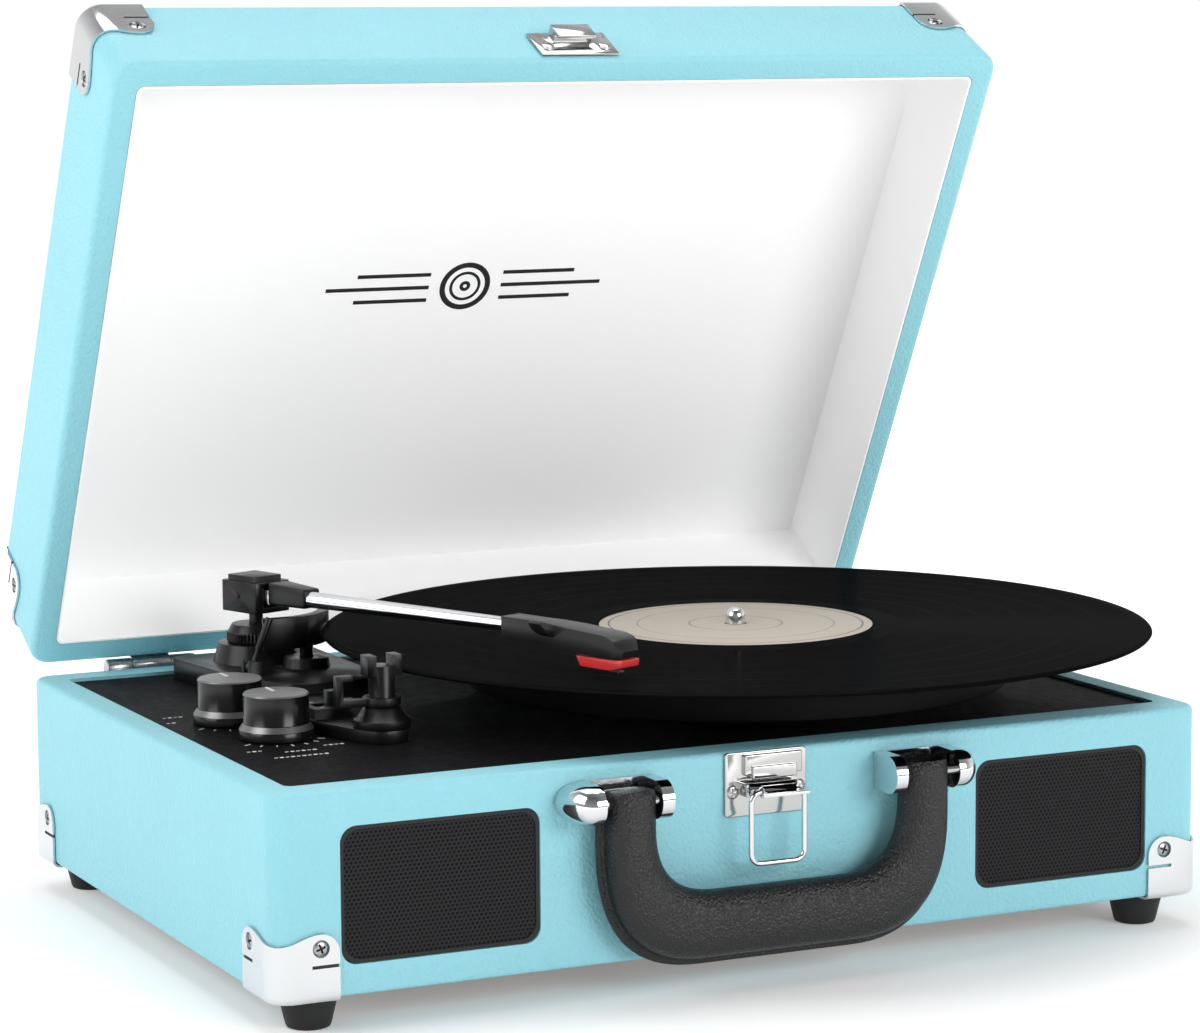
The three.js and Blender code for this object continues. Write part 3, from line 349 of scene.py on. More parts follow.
# ------------------------------------------------------------------ deck
# A flat board covered in black pebbled vinyl, sunk a little below the rim, with white printed scales
# and plain rows of dashes for the two knobs.

deck_vinyl = finish("black_pebbled_vinyl", (0.008, 0.008, 0.009), 0.5, cloud=0.2, grain_size=0.9, depth=0.14,
                    coat=0.015, specular=0.02)
refinish(deck_vinyl, "deck_panel")

print_white = finish("white_print", (0.75, 0.75, 0.75), 0.5, cloud=0.03)
scale_marks = bmesh.new()
print_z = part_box("deck_panel")[1].z + mm(0.06)


def printed(form, size, place, turn=0.0, out=0.0):
    """Adds one thin bar of print: sized, moved out along Y, turned about Z and put in place."""
    bar = bmesh.ops.create_cube(form, size=1)["verts"]
    bmesh.ops.scale(form, vec=size, verts=bar)
    bmesh.ops.translate(form, vec=(0, out, 0), verts=bar)
    bmesh.ops.rotate(form, matrix=Matrix.Rotation(turn, 3, "Z"), verts=bar)
    bmesh.ops.translate(form, vec=place, verts=bar)


for knob_node, rows in (("volume_knob", ((-14, -20, 7), (14, -20, 8), (0, -25.5, 12), (-3, -34, 20))),
                        ("function_knob", ((-14, 18, 8), (2, 20.5, 9), (-17.5, 8, 5)))):
    eye = middle_of(knob_node)
    for step in range(7):
        printed(scale_marks, mm(0.45, 1.8 if step % 3 else 2.6, 0.12), (eye.x, eye.y, print_z),
                math.radians(20 * step - 240), mm(15.4))
    for across_by, along_by, long in rows:
        for place in range(long // 2):
            printed(scale_marks, mm(1.2, 0.5 + 0.7 * (place % 2), 0.12),
                    (eye.x + mm(across_by + 2 * place - long / 2), eye.y + mm(along_by), print_z))
fitted(scale_marks, "knob_scales", print_white, "case", "white_lining")


# ------------------------------------------------------------------ speakers
# Behind each window a black perforated sheet with a plain rolled border, and behind it a paper cone
# in a steel basket, the whole driver given the black paper cone finish.

def punched_sheet():
    """A black sheet with staggered round holes 1.55 apart, read in the plane of the front; the holes are
    painted near black as painted shade of the cavity behind.
    """
    material = finish("punched_black_sheet", (0.02, 0.02, 0.022), 0.45, cloud=0.1, specular=0.12)
    tree = material.node_tree
    base_colour, relief = tree.nodes["Principled BSDF"].inputs["Base Color"], tree.nodes["relief"]
    parts = wired(tree, "SeparateXYZ", {0: wired(tree, "TexCoord").outputs["Object"]}).outputs
    pitch, row = mm(1.55), mm(1.55) * math.sqrt(3)
    distances = []
    for shift in (0, 0.5):
        squares = []
        for along, gap in ((parts["X"], pitch), (parts["Z"], row)):
            cell = sum_of(tree, "FRACT", sum_of(tree, "ADD", sum_of(tree, "DIVIDE", along, gap), shift))
            off = sum_of(tree, "MULTIPLY", sum_of(tree, "SUBTRACT", cell, 0.5), gap)
            squares.append(sum_of(tree, "MULTIPLY", off, off))
        distances.append(sum_of(tree, "SQRT", sum_of(tree, "ADD", *squares)))
    solid = spread_over(tree, sum_of(tree, "MINIMUM", *distances), mm(0.42, 0.52))
    # The holes are painted near black: painted shade of the dark cavity behind the sheet.
    painted_hole_shade = wired(tree, "Mix", {"Factor": solid, "A": (0.0015, 0.0015, 0.0015, 1),
                                "B": base_colour.links[0].from_socket}, data_type="RGBA")
    tree.links.new(painted_hole_shade.outputs["Result"], base_colour)
    relief.inputs["Distance"].default_value = mm(0.5)
    tree.links.new(solid, relief.inputs["Height"])
    return material


grille_sheet = punched_sheet()
border_black = finish("rolled_black_border", (0.012, 0.012, 0.013), 0.4, specular=0.3)
for side in ("left", "right"):
    low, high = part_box(f"speaker_grille_{side}")
    sheet = window(side, (low.y + mm(0.4), high.y), mm(-0.2))
    fitted(sheet, f"grille_sheet_{side}", grille_sheet, "case", "perforated_steel", f"speaker_grille_{side}")
    border = worked(window(side, (low.y, high.y - mm(0.1)), 0),
                    ("DIFFERENCE", window(side, (low.y - 0.01, high.y + 0.01), mm(-1.1))))
    fitted(border, f"grille_border_{side}", border_black, "case", "perforated_steel")
paper_cone = finish("black_paper_cone", (0.02, 0.02, 0.02), 0.85, cloud=0.2, grain_size=0.6, depth=0.05)
refinish(paper_cone, "speaker_driver_left", "speaker_driver_right")


# ------------------------------------------------------------------ lid
# A shallow board box in the same leatherette, standing open on its hinges, lined with a white tray
# that carries a plain printed emblem of a disc between bars.

hinge = next(joint for joint in frame["record"]["behaviour"]["joints"] if joint["name"] == "lid_hinge")
hinge_line = Vector(hinge["pos_m"])
lid_open = math.radians(62.2)
lid_turn = (Matrix.Translation(hinge_line) @ Matrix.Rotation(-lid_open, 4, "X")
            @ Matrix.Translation(-hinge_line))
lid_rim, lid_top = case_high.z + mm(0.5), case_high.z + mm(42.5)
lid_wall = mm(9)
lid_body = board((case_low.x, case_high.x), (case_low.y, case_high.y), (lid_rim, lid_top), mm(8), mm(2.2))
lid_hollow = board((case_low.x + lid_wall, case_high.x - lid_wall),
                   (case_low.y + lid_wall, case_high.y - lid_wall),
                   (lid_rim - 0.01, lid_top - mm(2.2)), mm(3), 0, 5)
lid_form = worked(lid_body, ("DIFFERENCE", lid_hollow))
bmesh.ops.transform(lid_form, matrix=lid_turn, verts=lid_form.verts)
fitted(lid_form, "lid_box", turquoise, "lid", "turquoise_wrap", "lid_shell")

lining_white_painted_glow = finish("white_lining_paper_painted_glow", (0.95, 0.95, 0.95), 0.7, cloud=0.015, grain_size=1.4, depth=0.03)
lining_face = lining_white_painted_glow.node_tree.nodes["Principled BSDF"].inputs
# The lining also glows a little: painted light, so that it stays brighter than the lamps alone light it.
lining_face["Emission Color"].default_value = (1, 1, 1, 1)
lining_face["Emission Strength"].default_value = 0.07
lining_edge, lining_skin = mm(0.3), mm(0.7)
lining_x = (case_low.x + lid_wall + lining_edge, case_high.x - lid_wall - lining_edge)
lining_y = (case_low.y + lid_wall + lining_edge, case_high.y - lid_wall - lining_edge)
lining_top = lid_top - mm(2.5)
lining = worked(
    board(lining_x, lining_y, (lid_rim, lining_top), mm(2.7), 0, 5),
    ("DIFFERENCE", board((lining_x[0] + lining_skin, lining_x[1] - lining_skin),
                         (lining_y[0] + lining_skin, lining_y[1] - lining_skin),
                         (lid_rim - 0.01, lining_top - lining_skin), mm(2.2), 0, 5)))
bmesh.ops.transform(lining, matrix=lid_turn, verts=lining.verts)
fitted(lining, "lid_lining_tray", lining_white_painted_glow, "lid", "white_lining", "lid_lining")


def raised(form, faces, by):
    """Pulls flat faces along by a distance, which makes the walls behind them."""
    pulled = bmesh.ops.extrude_face_region(form, geom=faces)["geom"]
    moved = [item for item in pulled if isinstance(item, bmesh.types.BMVert)]
    bmesh.ops.translate(form, vec=by, verts=moved)


def spun(form, profile, centre=(0, 0, 0), steps=48):
    """Turns a line of points in an upright plane once round an upright line."""
    points = [form.verts.new(place) for place in profile]
    edges = [form.edges.new(pair) for pair in zip(points, points[1:])]
    bmesh.ops.spin(form, geom=points + edges, cent=centre, axis=(0, 0, 1), angle=math.tau, steps=steps,
                   use_merge=True)


emblem_ink = finish("emblem_ink", (0.02, 0.02, 0.022), 0.6, cloud=0.1, specular=0.2)
emblem = bmesh.new()
emblem_z = lining_top - lining_skin - mm(0.06)
emblem_x, emblem_y = (case_low.x + case_high.x) / 2 - mm(8), case_low.y + mm(118)
for ring_in, ring_out in ((0.8, 2.2), (5.2, 6.4), (8.2, 10.4)):
    spun(emblem, ((mm(ring_in), 0, 0), (mm(ring_out), 0, 0)))
for side in (-1, 1):
    for row, reach in enumerate((30, 42, 30)):
        bar = bmesh.ops.create_grid(emblem, x_segments=1, y_segments=1, size=0.5)["verts"]
        bmesh.ops.scale(emblem, vec=mm(reach, 1.6, 0), verts=bar)
        bmesh.ops.translate(emblem, vec=mm(side * (15 + reach / 2), (row - 1) * 5.6, 0), verts=bar)
bmesh.ops.translate(emblem, vec=(emblem_x, emblem_y, emblem_z), verts=emblem.verts)
raised(emblem, emblem.faces[:], (0, 0, mm(0.05)))
bmesh.ops.transform(emblem, matrix=lid_turn, verts=emblem.verts)
fitted(emblem, "lid_emblem", emblem_ink, "lid", "white_lining")


# ------------------------------------------------------------------ corner caps
# Pressed steel caps, chromed, wrapped round the four corners of the base and of the lid. Each is held
# by a cross-head screw in its two upright faces and has a slit where the pressing folds.

chrome = finish("polished_chrome", (0.70, 0.71, 0.72), 0.08, metal=1.0, cloud=0.02)
# Near black painted shade, for the floors of the screw crosses and the inside of the cap slits.
painted_recess_shade = finish("recess_shadow", (0.01, 0.01, 0.01), 0.6)
satin_steel = finish("satin_steel", (0.42, 0.42, 0.42), 0.28, metal=1.0, cloud=0.06)
screwed_chrome = [chrome, painted_recess_shade, satin_steel]


def screw_head(radius):
    """A low cross-head screw on the origin, looking along +Z."""
    dome = bmesh.new()
    rise = [(0, 0.2), (0.35, 0.18), (0.7, 0.1), (0.93, -0.04), (1, -0.15)]
    spun(dome, [(radius * out, 0, radius * up) for out, up in rise], steps=32)
    bmesh.ops.remove_doubles(dome, verts=dome.verts, dist=1e-7)
    bmesh.ops.holes_fill(dome, edges=[e for e in dome.edges if e.is_boundary], sides=0)
    bmesh.ops.recalc_face_normals(dome, faces=dome.faces)
    cutters = []
    for turn in (0.35, 0.35 + math.pi / 2):
        slot = board((-radius * 0.62, radius * 0.62), (-radius * 0.14, radius * 0.14),
                     (-radius * 0.1, radius * 0.6), 0, 0)
        cutters.append(("DIFFERENCE", swung(slot, "Z", turn)))
    head = worked(dome, *cutters)
    # The floor of the cross gets the painted shade; the rest of the head is satin steel.
    for face in head.faces:
        in_cross = face.calc_center_median().z < -radius * 0.05 and face.normal.z > 0.9
        face.material_index = 1 if in_cross else 2
    return head


def put(target, form, matrix):
    """Adds a placed copy of a form to another form, and keeps the form."""
    mesh = bpy.data.meshes.new("copy")
    form.to_mesh(mesh)
    mesh.transform(matrix)
    if matrix.determinant() < 0:
        mesh.flip_normals()
    target.from_mesh(mesh)
    bpy.data.meshes.remove(mesh)


def facing(place, direction):
    """The placement that turns +Z towards a direction at a place."""
    turn = Vector(direction).to_track_quat("Z", "Y").to_matrix().to_4x4()
    return Matrix.Translation(Vector(place)) @ turn


def outline_slab(points, z):
    """A flat outline raised from z[0] to z[1]."""
    form = bmesh.new()
    face = form.faces.new([form.verts.new((x, y, z[0])) for x, y in points])
    raised(form, [face], (0, 0, z[1] - z[0]))
    bmesh.ops.recalc_face_normals(form, faces=form.faces)
    return form


def corner_cap():
    """A cap for a corner at the origin whose case lies towards +X, +Y and +Z."""
    reach, thick = mm(60), mm(4)

    def grown(gap, soft):
        """The case's own corner, larger by a gap all round."""
        form = bmesh.new()
        bmesh.ops.create_cube(form, size=1)
        bmesh.ops.scale(form, vec=(reach + gap,) * 3, verts=form.verts)
        bmesh.ops.translate(form, vec=((reach - gap) / 2,) * 3, verts=form.verts)
        upright = [e for e in form.edges
                   if all(abs(v.co.x + gap) < 1e-6 and abs(v.co.y + gap) < 1e-6 for v in e.verts)]
        eased(form, upright, mm(8) + gap, 14)
        lower = [e for e in form.edges if all(abs(v.co.z + gap) < 1e-6 for v in e.verts)
                 and e.calc_face_angle() > 1 and all(v.co.x < reach * 0.99 and v.co.y < reach * 0.99
                                                     or min(v.co.x, v.co.y) < 0 for v in e.verts)]
        eased(form, lower, soft, 5)
        return form

    def view(width, height, dip, soft):
        """One outline of the cap, raised through it: a round ear, and an edge that dips at the corner."""
        run = width - soft
        ear = [(run + soft * math.sin(a), height - soft + soft * math.cos(a))
               for a in (math.radians(90 - 9 * step) for step in range(11))]
        edge = [(run * t, height - dip * (1 + math.cos(math.pi * t)) / 2)
                for t in (1 - step / 12 for step in range(1, 13))]
        outline = [(-thick, -thick), (width, -thick), *ear, *edge, (-thick, height - dip)]
        return outline_slab(outline, (-thick, thick))

    across, along, tall = mm(22), mm(26), mm(21.5)
    on_front = swung(view(across, tall, mm(3.6), mm(6.5)), "X")
    on_side = swung(swung(view(along, tall, mm(3.6), mm(6.5)), "X"), "Z")
    below = view(across, along, 0, mm(9))
    skin = worked(grown(mm(1.1), mm(2.6)), ("DIFFERENCE", grown(mm(0.3), mm(1.9))),
                  ("INTERSECT", worked(on_front, ("UNION", on_side), ("UNION", below))))
    cuts = []
    for place, direction in cap_screws:
        bore = rod(mm(2.9), mm(8))
        bmesh.ops.transform(bore, matrix=facing(place, direction), verts=bore.verts)
        cuts.append(("DIFFERENCE", bore))
    slit_z = (mm(10.4), mm(11.5))
    through, behind = (-thick, thick), mm(-0.55, -0.32)
    cuts.append(("DIFFERENCE", board((across - mm(9.5), across + mm(3)), through, slit_z, 0, 0)))
    cuts.append(("DIFFERENCE", board(through, (along - mm(9.5), along + mm(3)), slit_z, 0, 0)))
    skin = worked(skin, *cuts)
    # Thin near-black strips just behind the slits: painted shade inside the slits.
    for strip in (board((across - mm(9.3), across - mm(0.3)), behind, slit_z, 0, 0),
                  board(behind, (along - mm(9.3), along - mm(0.3)), slit_z, 0, 0)):
        for face in strip.faces:
            face.material_index = 1
        put(skin, strip, Matrix())
    return skin


cap_screws = [(mm(15.6, -0.55, 16.8), (0, -1, 0)), (mm(-0.55, 19.6, 16.8), (-1, 0, 0))]
cap_form, cap_screw = corner_cap(), screw_head(mm(2.7))
corners = {"front_left": (1, 1), "front_right": (-1, 1), "back_left": (1, -1), "back_right": (-1, -1)}
for corner, (side_x, side_y) in corners.items():
    x = case_low.x if side_x > 0 else case_high.x
    y = case_low.y if side_y > 0 else case_high.y
    for piece_name, node, body, z, side_z, turn in (
            ("base_cap", f"base_corner_{corner}", "case", case_low.z, 1, Matrix()),
            ("lid_cap", f"lid_corner_{corner}", "lid", lid_top, -1, lid_turn)):
        at = turn @ Matrix.Translation((x, y, z)) @ Matrix.Diagonal((side_x, side_y, side_z, 1))
        cap = bmesh.new()
        put(cap, cap_form, at)
        if side_z > 0:
            foot_at = middle_of(f"foot_{corner}")
            hole = rod(mm(10.3), mm(6), place=(foot_at.x, foot_at.y, case_low.z), steps=48)
            cap = worked(cap, ("DIFFERENCE", hole))
        for place, direction in cap_screws:
            put(cap, cap_screw, at @ facing(place, direction))
        fitted(cap, f"{piece_name}_{corner}", screwed_chrome, body, "chrome", node)


# ------------------------------------------------------------------ feet
# Four soft black rubber feet, tapering down, screwed up through the bottom of the base.

def turned(profile, x, y, steps=64):
    """A profile of (radius, height) points turned about an upright line."""
    form = bmesh.new()
    spun(form, [(x + mm(radius), y, mm(height)) for radius, height in profile], (x, y, 0), steps)
    bmesh.ops.remove_doubles(form, verts=form.verts, dist=1e-6)
    bmesh.ops.recalc_face_normals(form, faces=form.faces)
    return form


foot_rubber = finish("foot_rubber", (0.018, 0.018, 0.018), 0.6, cloud=0.15, grain_size=0.7, depth=0.03,
                     specular=0.25)
for corner in corners:
    foot_at = middle_of(f"foot_{corner}")
    foot = turned([(0, 0.6), (3.4, 0.6), (3.8, 0), (6.4, 0), (7.1, 0.3), (7.5, 1.1), (9.7, 10.2),
                   (9.8, 11.2), (9.4, 11.7), (0, 11.7)], foot_at.x, foot_at.y, 48)
    fitted(foot, f"rubber_foot_{corner}", foot_rubber, "case", "rubber", f"foot_{corner}")


# ------------------------------------------------------------------ hinges
# Two butt hinges of satin steel, each leaf fixed to the back by two screws, the pin held in the
# outer knuckles.

def softened(node, radius):
    """A CAD node's own shape as one form, its sharp edges rounded a little."""
    form = bmesh.new()
    form.from_mesh(frame["nodes"][node].data)
    bmesh.ops.remove_doubles(form, verts=form.verts, dist=2e-6)
    bmesh.ops.dissolve_limit(form, angle_limit=math.radians(1), verts=form.verts, edges=form.edges)
    crisp = [e for e in form.edges if len(e.link_faces) == 2 and e.calc_face_angle() > math.radians(40)]
    eased(form, crisp, radius, 2, clamp=True)
    return form


hinge_screw, screwed_steel = screw_head(mm(1.8)), [satin_steel, painted_recess_shade, satin_steel]
for side in ("left", "right"):
    for leaf, body, turn, up in (("base", "case", Matrix(), -1), ("lid", "lid", lid_turn, 1)):
        node = f"hinge_{leaf}_leaf_{side}"
        form = softened(node, mm(0.2))
        middle = middle_of(f"hinge_base_leaf_{side}").x
        for shift in (-11, 11):
            place = (middle + mm(shift), case_high.y + mm(1.4), hinge_line.z + up * mm(10.5))
            put(form, hinge_screw, turn @ facing(place, (0, 1, 0)))
        fitted(form, f"hinge_{leaf}_{side}", screwed_steel, body, "satin_steel", node)


# ------------------------------------------------------------------ latch
# A draw latch: a nickelled plate on the base with a chromed lever that carries a wire loop, and a
# nickelled plate with a hook on the lid that the loop catches.

nickel = finish("polished_nickel", (0.50, 0.50, 0.49), 0.13, metal=1.0, cloud=0.05)
screwed_nickel = [nickel, painted_recess_shade, satin_steel]
latch_low, latch_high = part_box("latch_plate")
latch_middle = (latch_low.x + latch_high.x) / 2
latch_screw = screw_head(mm(2.5))
pin_height = middle_of("latch_lever").z
plate_face = latch_high.y - mm(1)


def latch_step(x, y, z, corner, edge):
    """One raised step of the latch plate, x counted in millimetres from its middle."""
    across = (latch_middle + mm(x[0]), latch_middle + mm(x[1]))
    return "UNION", upright_board(across, y, z, mm(corner), mm(edge), 6, 3)


latch = worked(
    upright_board((latch_low.x, latch_high.x), (plate_face, latch_high.y), (latch_low.z, latch_high.z),
                  mm(1.3), mm(0.35), 6, 3),
    latch_step((-8.6, 13), (plate_face - mm(1.6), plate_face + mm(0.3)),
               (pin_height + mm(4.2), latch_high.z - mm(0.9)), 0.8, 0.5),
    latch_step((-6.2, 10.6), (plate_face - mm(2.6), plate_face),
               (pin_height + mm(3.1), pin_height + mm(7.5)), 0.6, 0.5),
    *[latch_step((shift - 0.5, shift + 0.5), (latch_low.y, plate_face + mm(0.3)),
                 (pin_height - mm(2.2), pin_height + mm(2.2)), 0.4, 0.2) for shift in (-9.5, 9.5)])
for shift in (-12.5, 12.5):
    place = (latch_middle + mm(shift), plate_face - mm(0.15), pin_height - mm(1))
    put(latch, latch_screw, facing(place, (0, -1, 0)))
fitted(latch, "latch_base", screwed_nickel, "case", "chrome", "latch_plate")
fitted(softened("latch_lever", mm(0.15)), "latch_blade", chrome, "latch_lever", "chrome", "latch_lever")

bail_low, bail_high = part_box("latch_bail")
wire = mm(0.95)
wire_y = (bail_low.y + bail_high.y) / 2
loop = bpy.data.curves.new("bail_line", "CURVE")
loop.dimensions = "3D"
loop.bevel_depth = wire
loop.bevel_resolution = 4
line = loop.splines.new("POLY")
bail_points = []
bail_x, bail_z = (bail_low.x + wire, bail_high.x - wire), (bail_low.z + wire, bail_high.z - wire)
bend = mm(3.5)
for corner_x, corner_z, start in (
        (bail_x[1] - bend, bail_z[1] - bend, 90), (bail_x[1] - bend, bail_z[0] + bend, 0),
        (bail_x[0] + bend, bail_z[0] + bend, -90), (bail_x[0] + bend, bail_z[1] - bend, -180)):
    for step in range(9):
        angle = math.radians(start - step * 90 / 8)
        bail_points.append((corner_x + bend * math.cos(angle), wire_y, corner_z + bend * math.sin(angle)))
line.points.add(len(bail_points) - 1)
for point, place in zip(line.points, bail_points):
    point.co = (*place, 1)
line.use_cyclic_u = True
loop_holder = bpy.data.objects.new("bail_line", loop)
bpy.context.scene.collection.objects.link(loop_holder)
loop_mesh = bpy.data.meshes.new_from_object(loop_holder.evaluated_get(bpy.context.evaluated_depsgraph_get()))
bail_form = bmesh.new()
bail_form.from_mesh(loop_mesh)
bpy.data.objects.remove(loop_holder)
bpy.data.meshes.remove(loop_mesh)
fitted(bail_form, "latch_loop", chrome, "latch_bail", "chrome", "latch_bail")

catch = softened("lid_catch", mm(0.25))
for shift in (-11.3, 11.3):
    place = (latch_middle + mm(shift), case_low.y - mm(1.75), lid_rim + mm(6.5))
    put(catch, latch_screw, lid_turn @ facing(place, (0, -1, 0)))
fitted(catch, "lid_hook", screwed_nickel, "lid", "chrome", "lid_catch")


# ------------------------------------------------------------------ carrying handle
# A padded U of black grained imitation leather with a flat sewn lip along its outer edge, hung from
# two chromed brackets whose outer ends are domed.

handle_low, handle_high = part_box("handle")
handle_x = (handle_low.x + handle_high.x) / 2
lug_radius = mm(6.4)
handle_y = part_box("handle_bracket_left")[0].y + lug_radius
outer = (handle_high.x - handle_low.x) / 2
inner = outer - mm(19.5)
low_out, low_in = handle_low.z, handle_low.z + mm(25.5)


def curve_points(start, knee, end, steps):
    """Points along a curve that leaves start towards knee and arrives at end from it."""
    return [tuple((1 - t) ** 2 * a + 2 * t * (1 - t) * b + t * t * c for a, b, c in zip(start, knee, end))
            for t in (step / steps for step in range(steps + 1))]


def half_line(reach, low, shoulder, run):
    """Half of one edge of the U: down the leg, round the shoulder and in to the middle."""
    leg = [(reach, handle_high.z + (low + shoulder - handle_high.z) * step / 8) for step in range(8)]
    bendy = curve_points((reach, low + shoulder), (reach, low), (reach - run, low), 16)
    return leg + bendy + [((reach - run) * (1 - step / 8), low) for step in range(1, 9)]


outer_half = half_line(outer, low_out, mm(42), mm(36))
inner_half = half_line(inner, low_in, mm(23), mm(23))
outer_line = outer_half + [(-x, z) for x, z in reversed(outer_half[:-1])]
inner_line = inner_half + [(-x, z) for x, z in reversed(inner_half[:-1])]
section = [(1.0, 0.44), (0.985, 0.34), (0.93, 0.30), (0.85, 0.30), (0.80, 0.27), (0.775, 0.16), (0.775, 0.0),
           (0.76, -0.28), (0.68, -0.6), (0.52, -0.84), (0.26, -0.97), (-0.06, -1.0), (-0.38, -0.96),
           (-0.66, -0.83), (-0.86, -0.6), (-0.97, -0.32), (-1.0, 0.0), (-0.97, 0.32), (-0.87, 0.62),
           (-0.68, 0.85), (-0.4, 0.97), (-0.05, 1.0), (0.32, 0.98), (0.62, 0.92), (0.86, 0.8), (0.97, 0.68),
           (1.0, 0.56)]
grip = bmesh.new()
ring = [grip.verts.new((u, v, 0)) for u, v in section]
first = grip.faces.new(ring)
pin_z = sum(corner.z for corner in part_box("handle_bracket_left")) / 2
previous = None
for (x_out, z_out), (x_in, z_in) in zip(outer_line, inner_line):
    if previous is not None:
        made = bmesh.ops.extrude_face_region(grip, geom=[previous])["geom"]
        bmesh.ops.delete(grip, geom=[previous], context="FACES_ONLY")
        first = next(item for item in made if isinstance(item, bmesh.types.BMFace))
    middle = ((x_out + x_in) / 2, (z_out + z_in) / 2)
    half = ((x_out - x_in) / 2, (z_out - z_in) / 2)
    over = max(0.0, (middle[1] - pin_z) / mm(7.2))
    deep = mm(6.9) * math.sqrt(max(0.1, 1 - over * over))
    for vert, (u, v) in zip(first.verts, section):
        vert.co = (handle_x + middle[0] + u * half[0], handle_y + v * deep, middle[1] + u * half[1])
    previous = first
grip_leather = finish("black_grained_leather", (0.010, 0.010, 0.0105), 0.4, cloud=0.2, grain_size=0.85,
                      depth=0.34, specular=0.4)
grip_piece = fitted(grip, "padded_grip", grip_leather, "handle", "padded_leather", "handle", sharp=50)
swell = grip_piece.modifiers.new("rounding", "SUBSURF")
swell.levels = swell.render_levels = 1


def lug_outline(face_y):
    """A bracket lug from the side, round in front and flat at the back: (y, z) points, z from the pin."""
    nose = [(handle_y - lug_radius * math.sin(math.radians(a)), -lug_radius * math.cos(math.radians(a)))
            for a in range(0, 181, 9)]
    return [(face_y, -lug_radius), *nose, (face_y, lug_radius)]


def bracket_end(x, face_y):
    """A lug with a round front and a flat back, from x[0] to x[1]."""
    lug = outline_slab([(y, pin_z + z) for y, z in lug_outline(face_y)], x)
    sideways = Matrix(((0, 0, 1, 0), (1, 0, 0, 0), (0, 1, 0, 0), (0, 0, 0, 1)))
    bmesh.ops.transform(lug, matrix=sideways, verts=lug.verts)
    return lug


def bracket_dome(x_from, x_to, face_y):
    """The outer end of a bracket: the lug's outline shrinking towards the case in a round nose."""
    form = bmesh.new()
    outline = lug_outline(face_y)
    face = form.faces.new([form.verts.new((x_from, y, pin_z + z)) for y, z in outline])
    for step in range(1, 17):
        t = math.sin(step / 16 * math.pi / 2)
        bend = max(0.0, (t - 0.22) / 0.78)
        size = max(0.04, math.sqrt(max(0.0, 1 - bend * bend)))
        pulled = bmesh.ops.extrude_face_region(form, geom=[face])["geom"]
        if step > 1:
            bmesh.ops.delete(form, geom=[face], context="FACES_ONLY")
        face = next(item for item in pulled if isinstance(item, bmesh.types.BMFace))
        for vert, (y, z) in zip(face.verts, outline):
            vert.co = (x_from + (x_to - x_from) * t, face_y + (y - face_y) * size, pin_z + z * size)
    bmesh.ops.recalc_face_normals(form, faces=form.faces)
    return form


for side, name in ((-1, "left"), (1, "right")):
    face_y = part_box(f"handle_bracket_{name}")[1].y
    leg = handle_x + side * mm(56)
    slot_in, slot_out = leg - side * mm(10.05), leg + side * mm(10.05)
    lug = bracket_end(sorted((slot_in - side * mm(4.3), slot_in)), face_y)
    dome = bracket_dome(slot_out, slot_out + side * mm(11.5), face_y)
    plate = board(sorted((slot_in - side * mm(1), slot_out + side * mm(1))), (face_y - mm(1.6), face_y),
                  (pin_z - lug_radius, pin_z + lug_radius), 0, 0)
    pin = rod(mm(2), mm(22), "Y", (leg, handle_y, pin_z))
    bracket = worked(lug, ("UNION", dome), ("UNION", plate), ("UNION", pin))
    crisp = [e for e in bracket.edges if len(e.link_faces) == 2 and e.calc_face_angle() > 0.8]
    eased(bracket, crisp, mm(0.35), 2, clamp=True)
    fitted(bracket, f"grip_bracket_{name}", chrome, "case", "chrome", f"handle_bracket_{name}")


# ------------------------------------------------------------------ platter, mat and record
# A moulded black platter on a steel bearing, a thin felt mat, and a twelve inch disc pressed in
# black vinyl with six bands of grooves and a beige paper label.

satin_black = finish("satin_black_moulding", (0.006, 0.006, 0.0065), 0.3, cloud=0.15, grain_size=0.5,
                     depth=0.015, specular=0.3)
felt = finish("black_felt", (0.006, 0.006, 0.006), 1.0, cloud=0.3, grain_size=0.6, depth=0.08)
refinish(satin_steel, "spindle_bearing")
refinish(felt, "slipmat")


def level_of(node):
    """The lowest and highest level of a CAD node, in millimetres."""
    return [corner.z * 1000 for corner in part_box(node)]


eye_x, eye_y, _ = middle_of("vinyl_record")
dish_base, dish_z = level_of("platter")
hub_low = level_of("spindle_bearing")[1] + 0.8
platter_form = turned([
    (3.8, hub_low), (12, hub_low), (12, dish_z - 3), (63, dish_z - 3), (63, dish_base + 2.5),
    (66, dish_base + 2.5), (66, dish_z - 3), (97, dish_z - 3), (97, dish_base), (99.4, dish_base),
    (99.9, dish_base + 0.5), (100, dish_base + 1.2), (100, dish_z - 1.3), (99.6, dish_z - 0.4),
    (98.8, dish_z), (3.8, dish_z), (3.8, hub_low)], eye_x, eye_y, 96)
deep_black = finish("deep_black_moulding", (0.005, 0.005, 0.0055), 0.5, cloud=0.15, grain_size=0.5,
                    depth=0.015, specular=0.08)
fitted(platter_form, "moulded_platter", deep_black, "platter", "black_plastic", "platter")


def ring_reader(tree):
    """The distance from the middle of the record, as a socket in a material's tree."""
    spot = wired(tree, "Mapping", {"Vector": wired(tree, "TexCoord").outputs["Object"],
                                   "Location": (-eye_x, -eye_y, 0), "Scale": (1, 1, 0)})
    return wired(tree, "VectorMath", {0: spot.outputs["Vector"]}, operation="LENGTH").outputs["Value"]


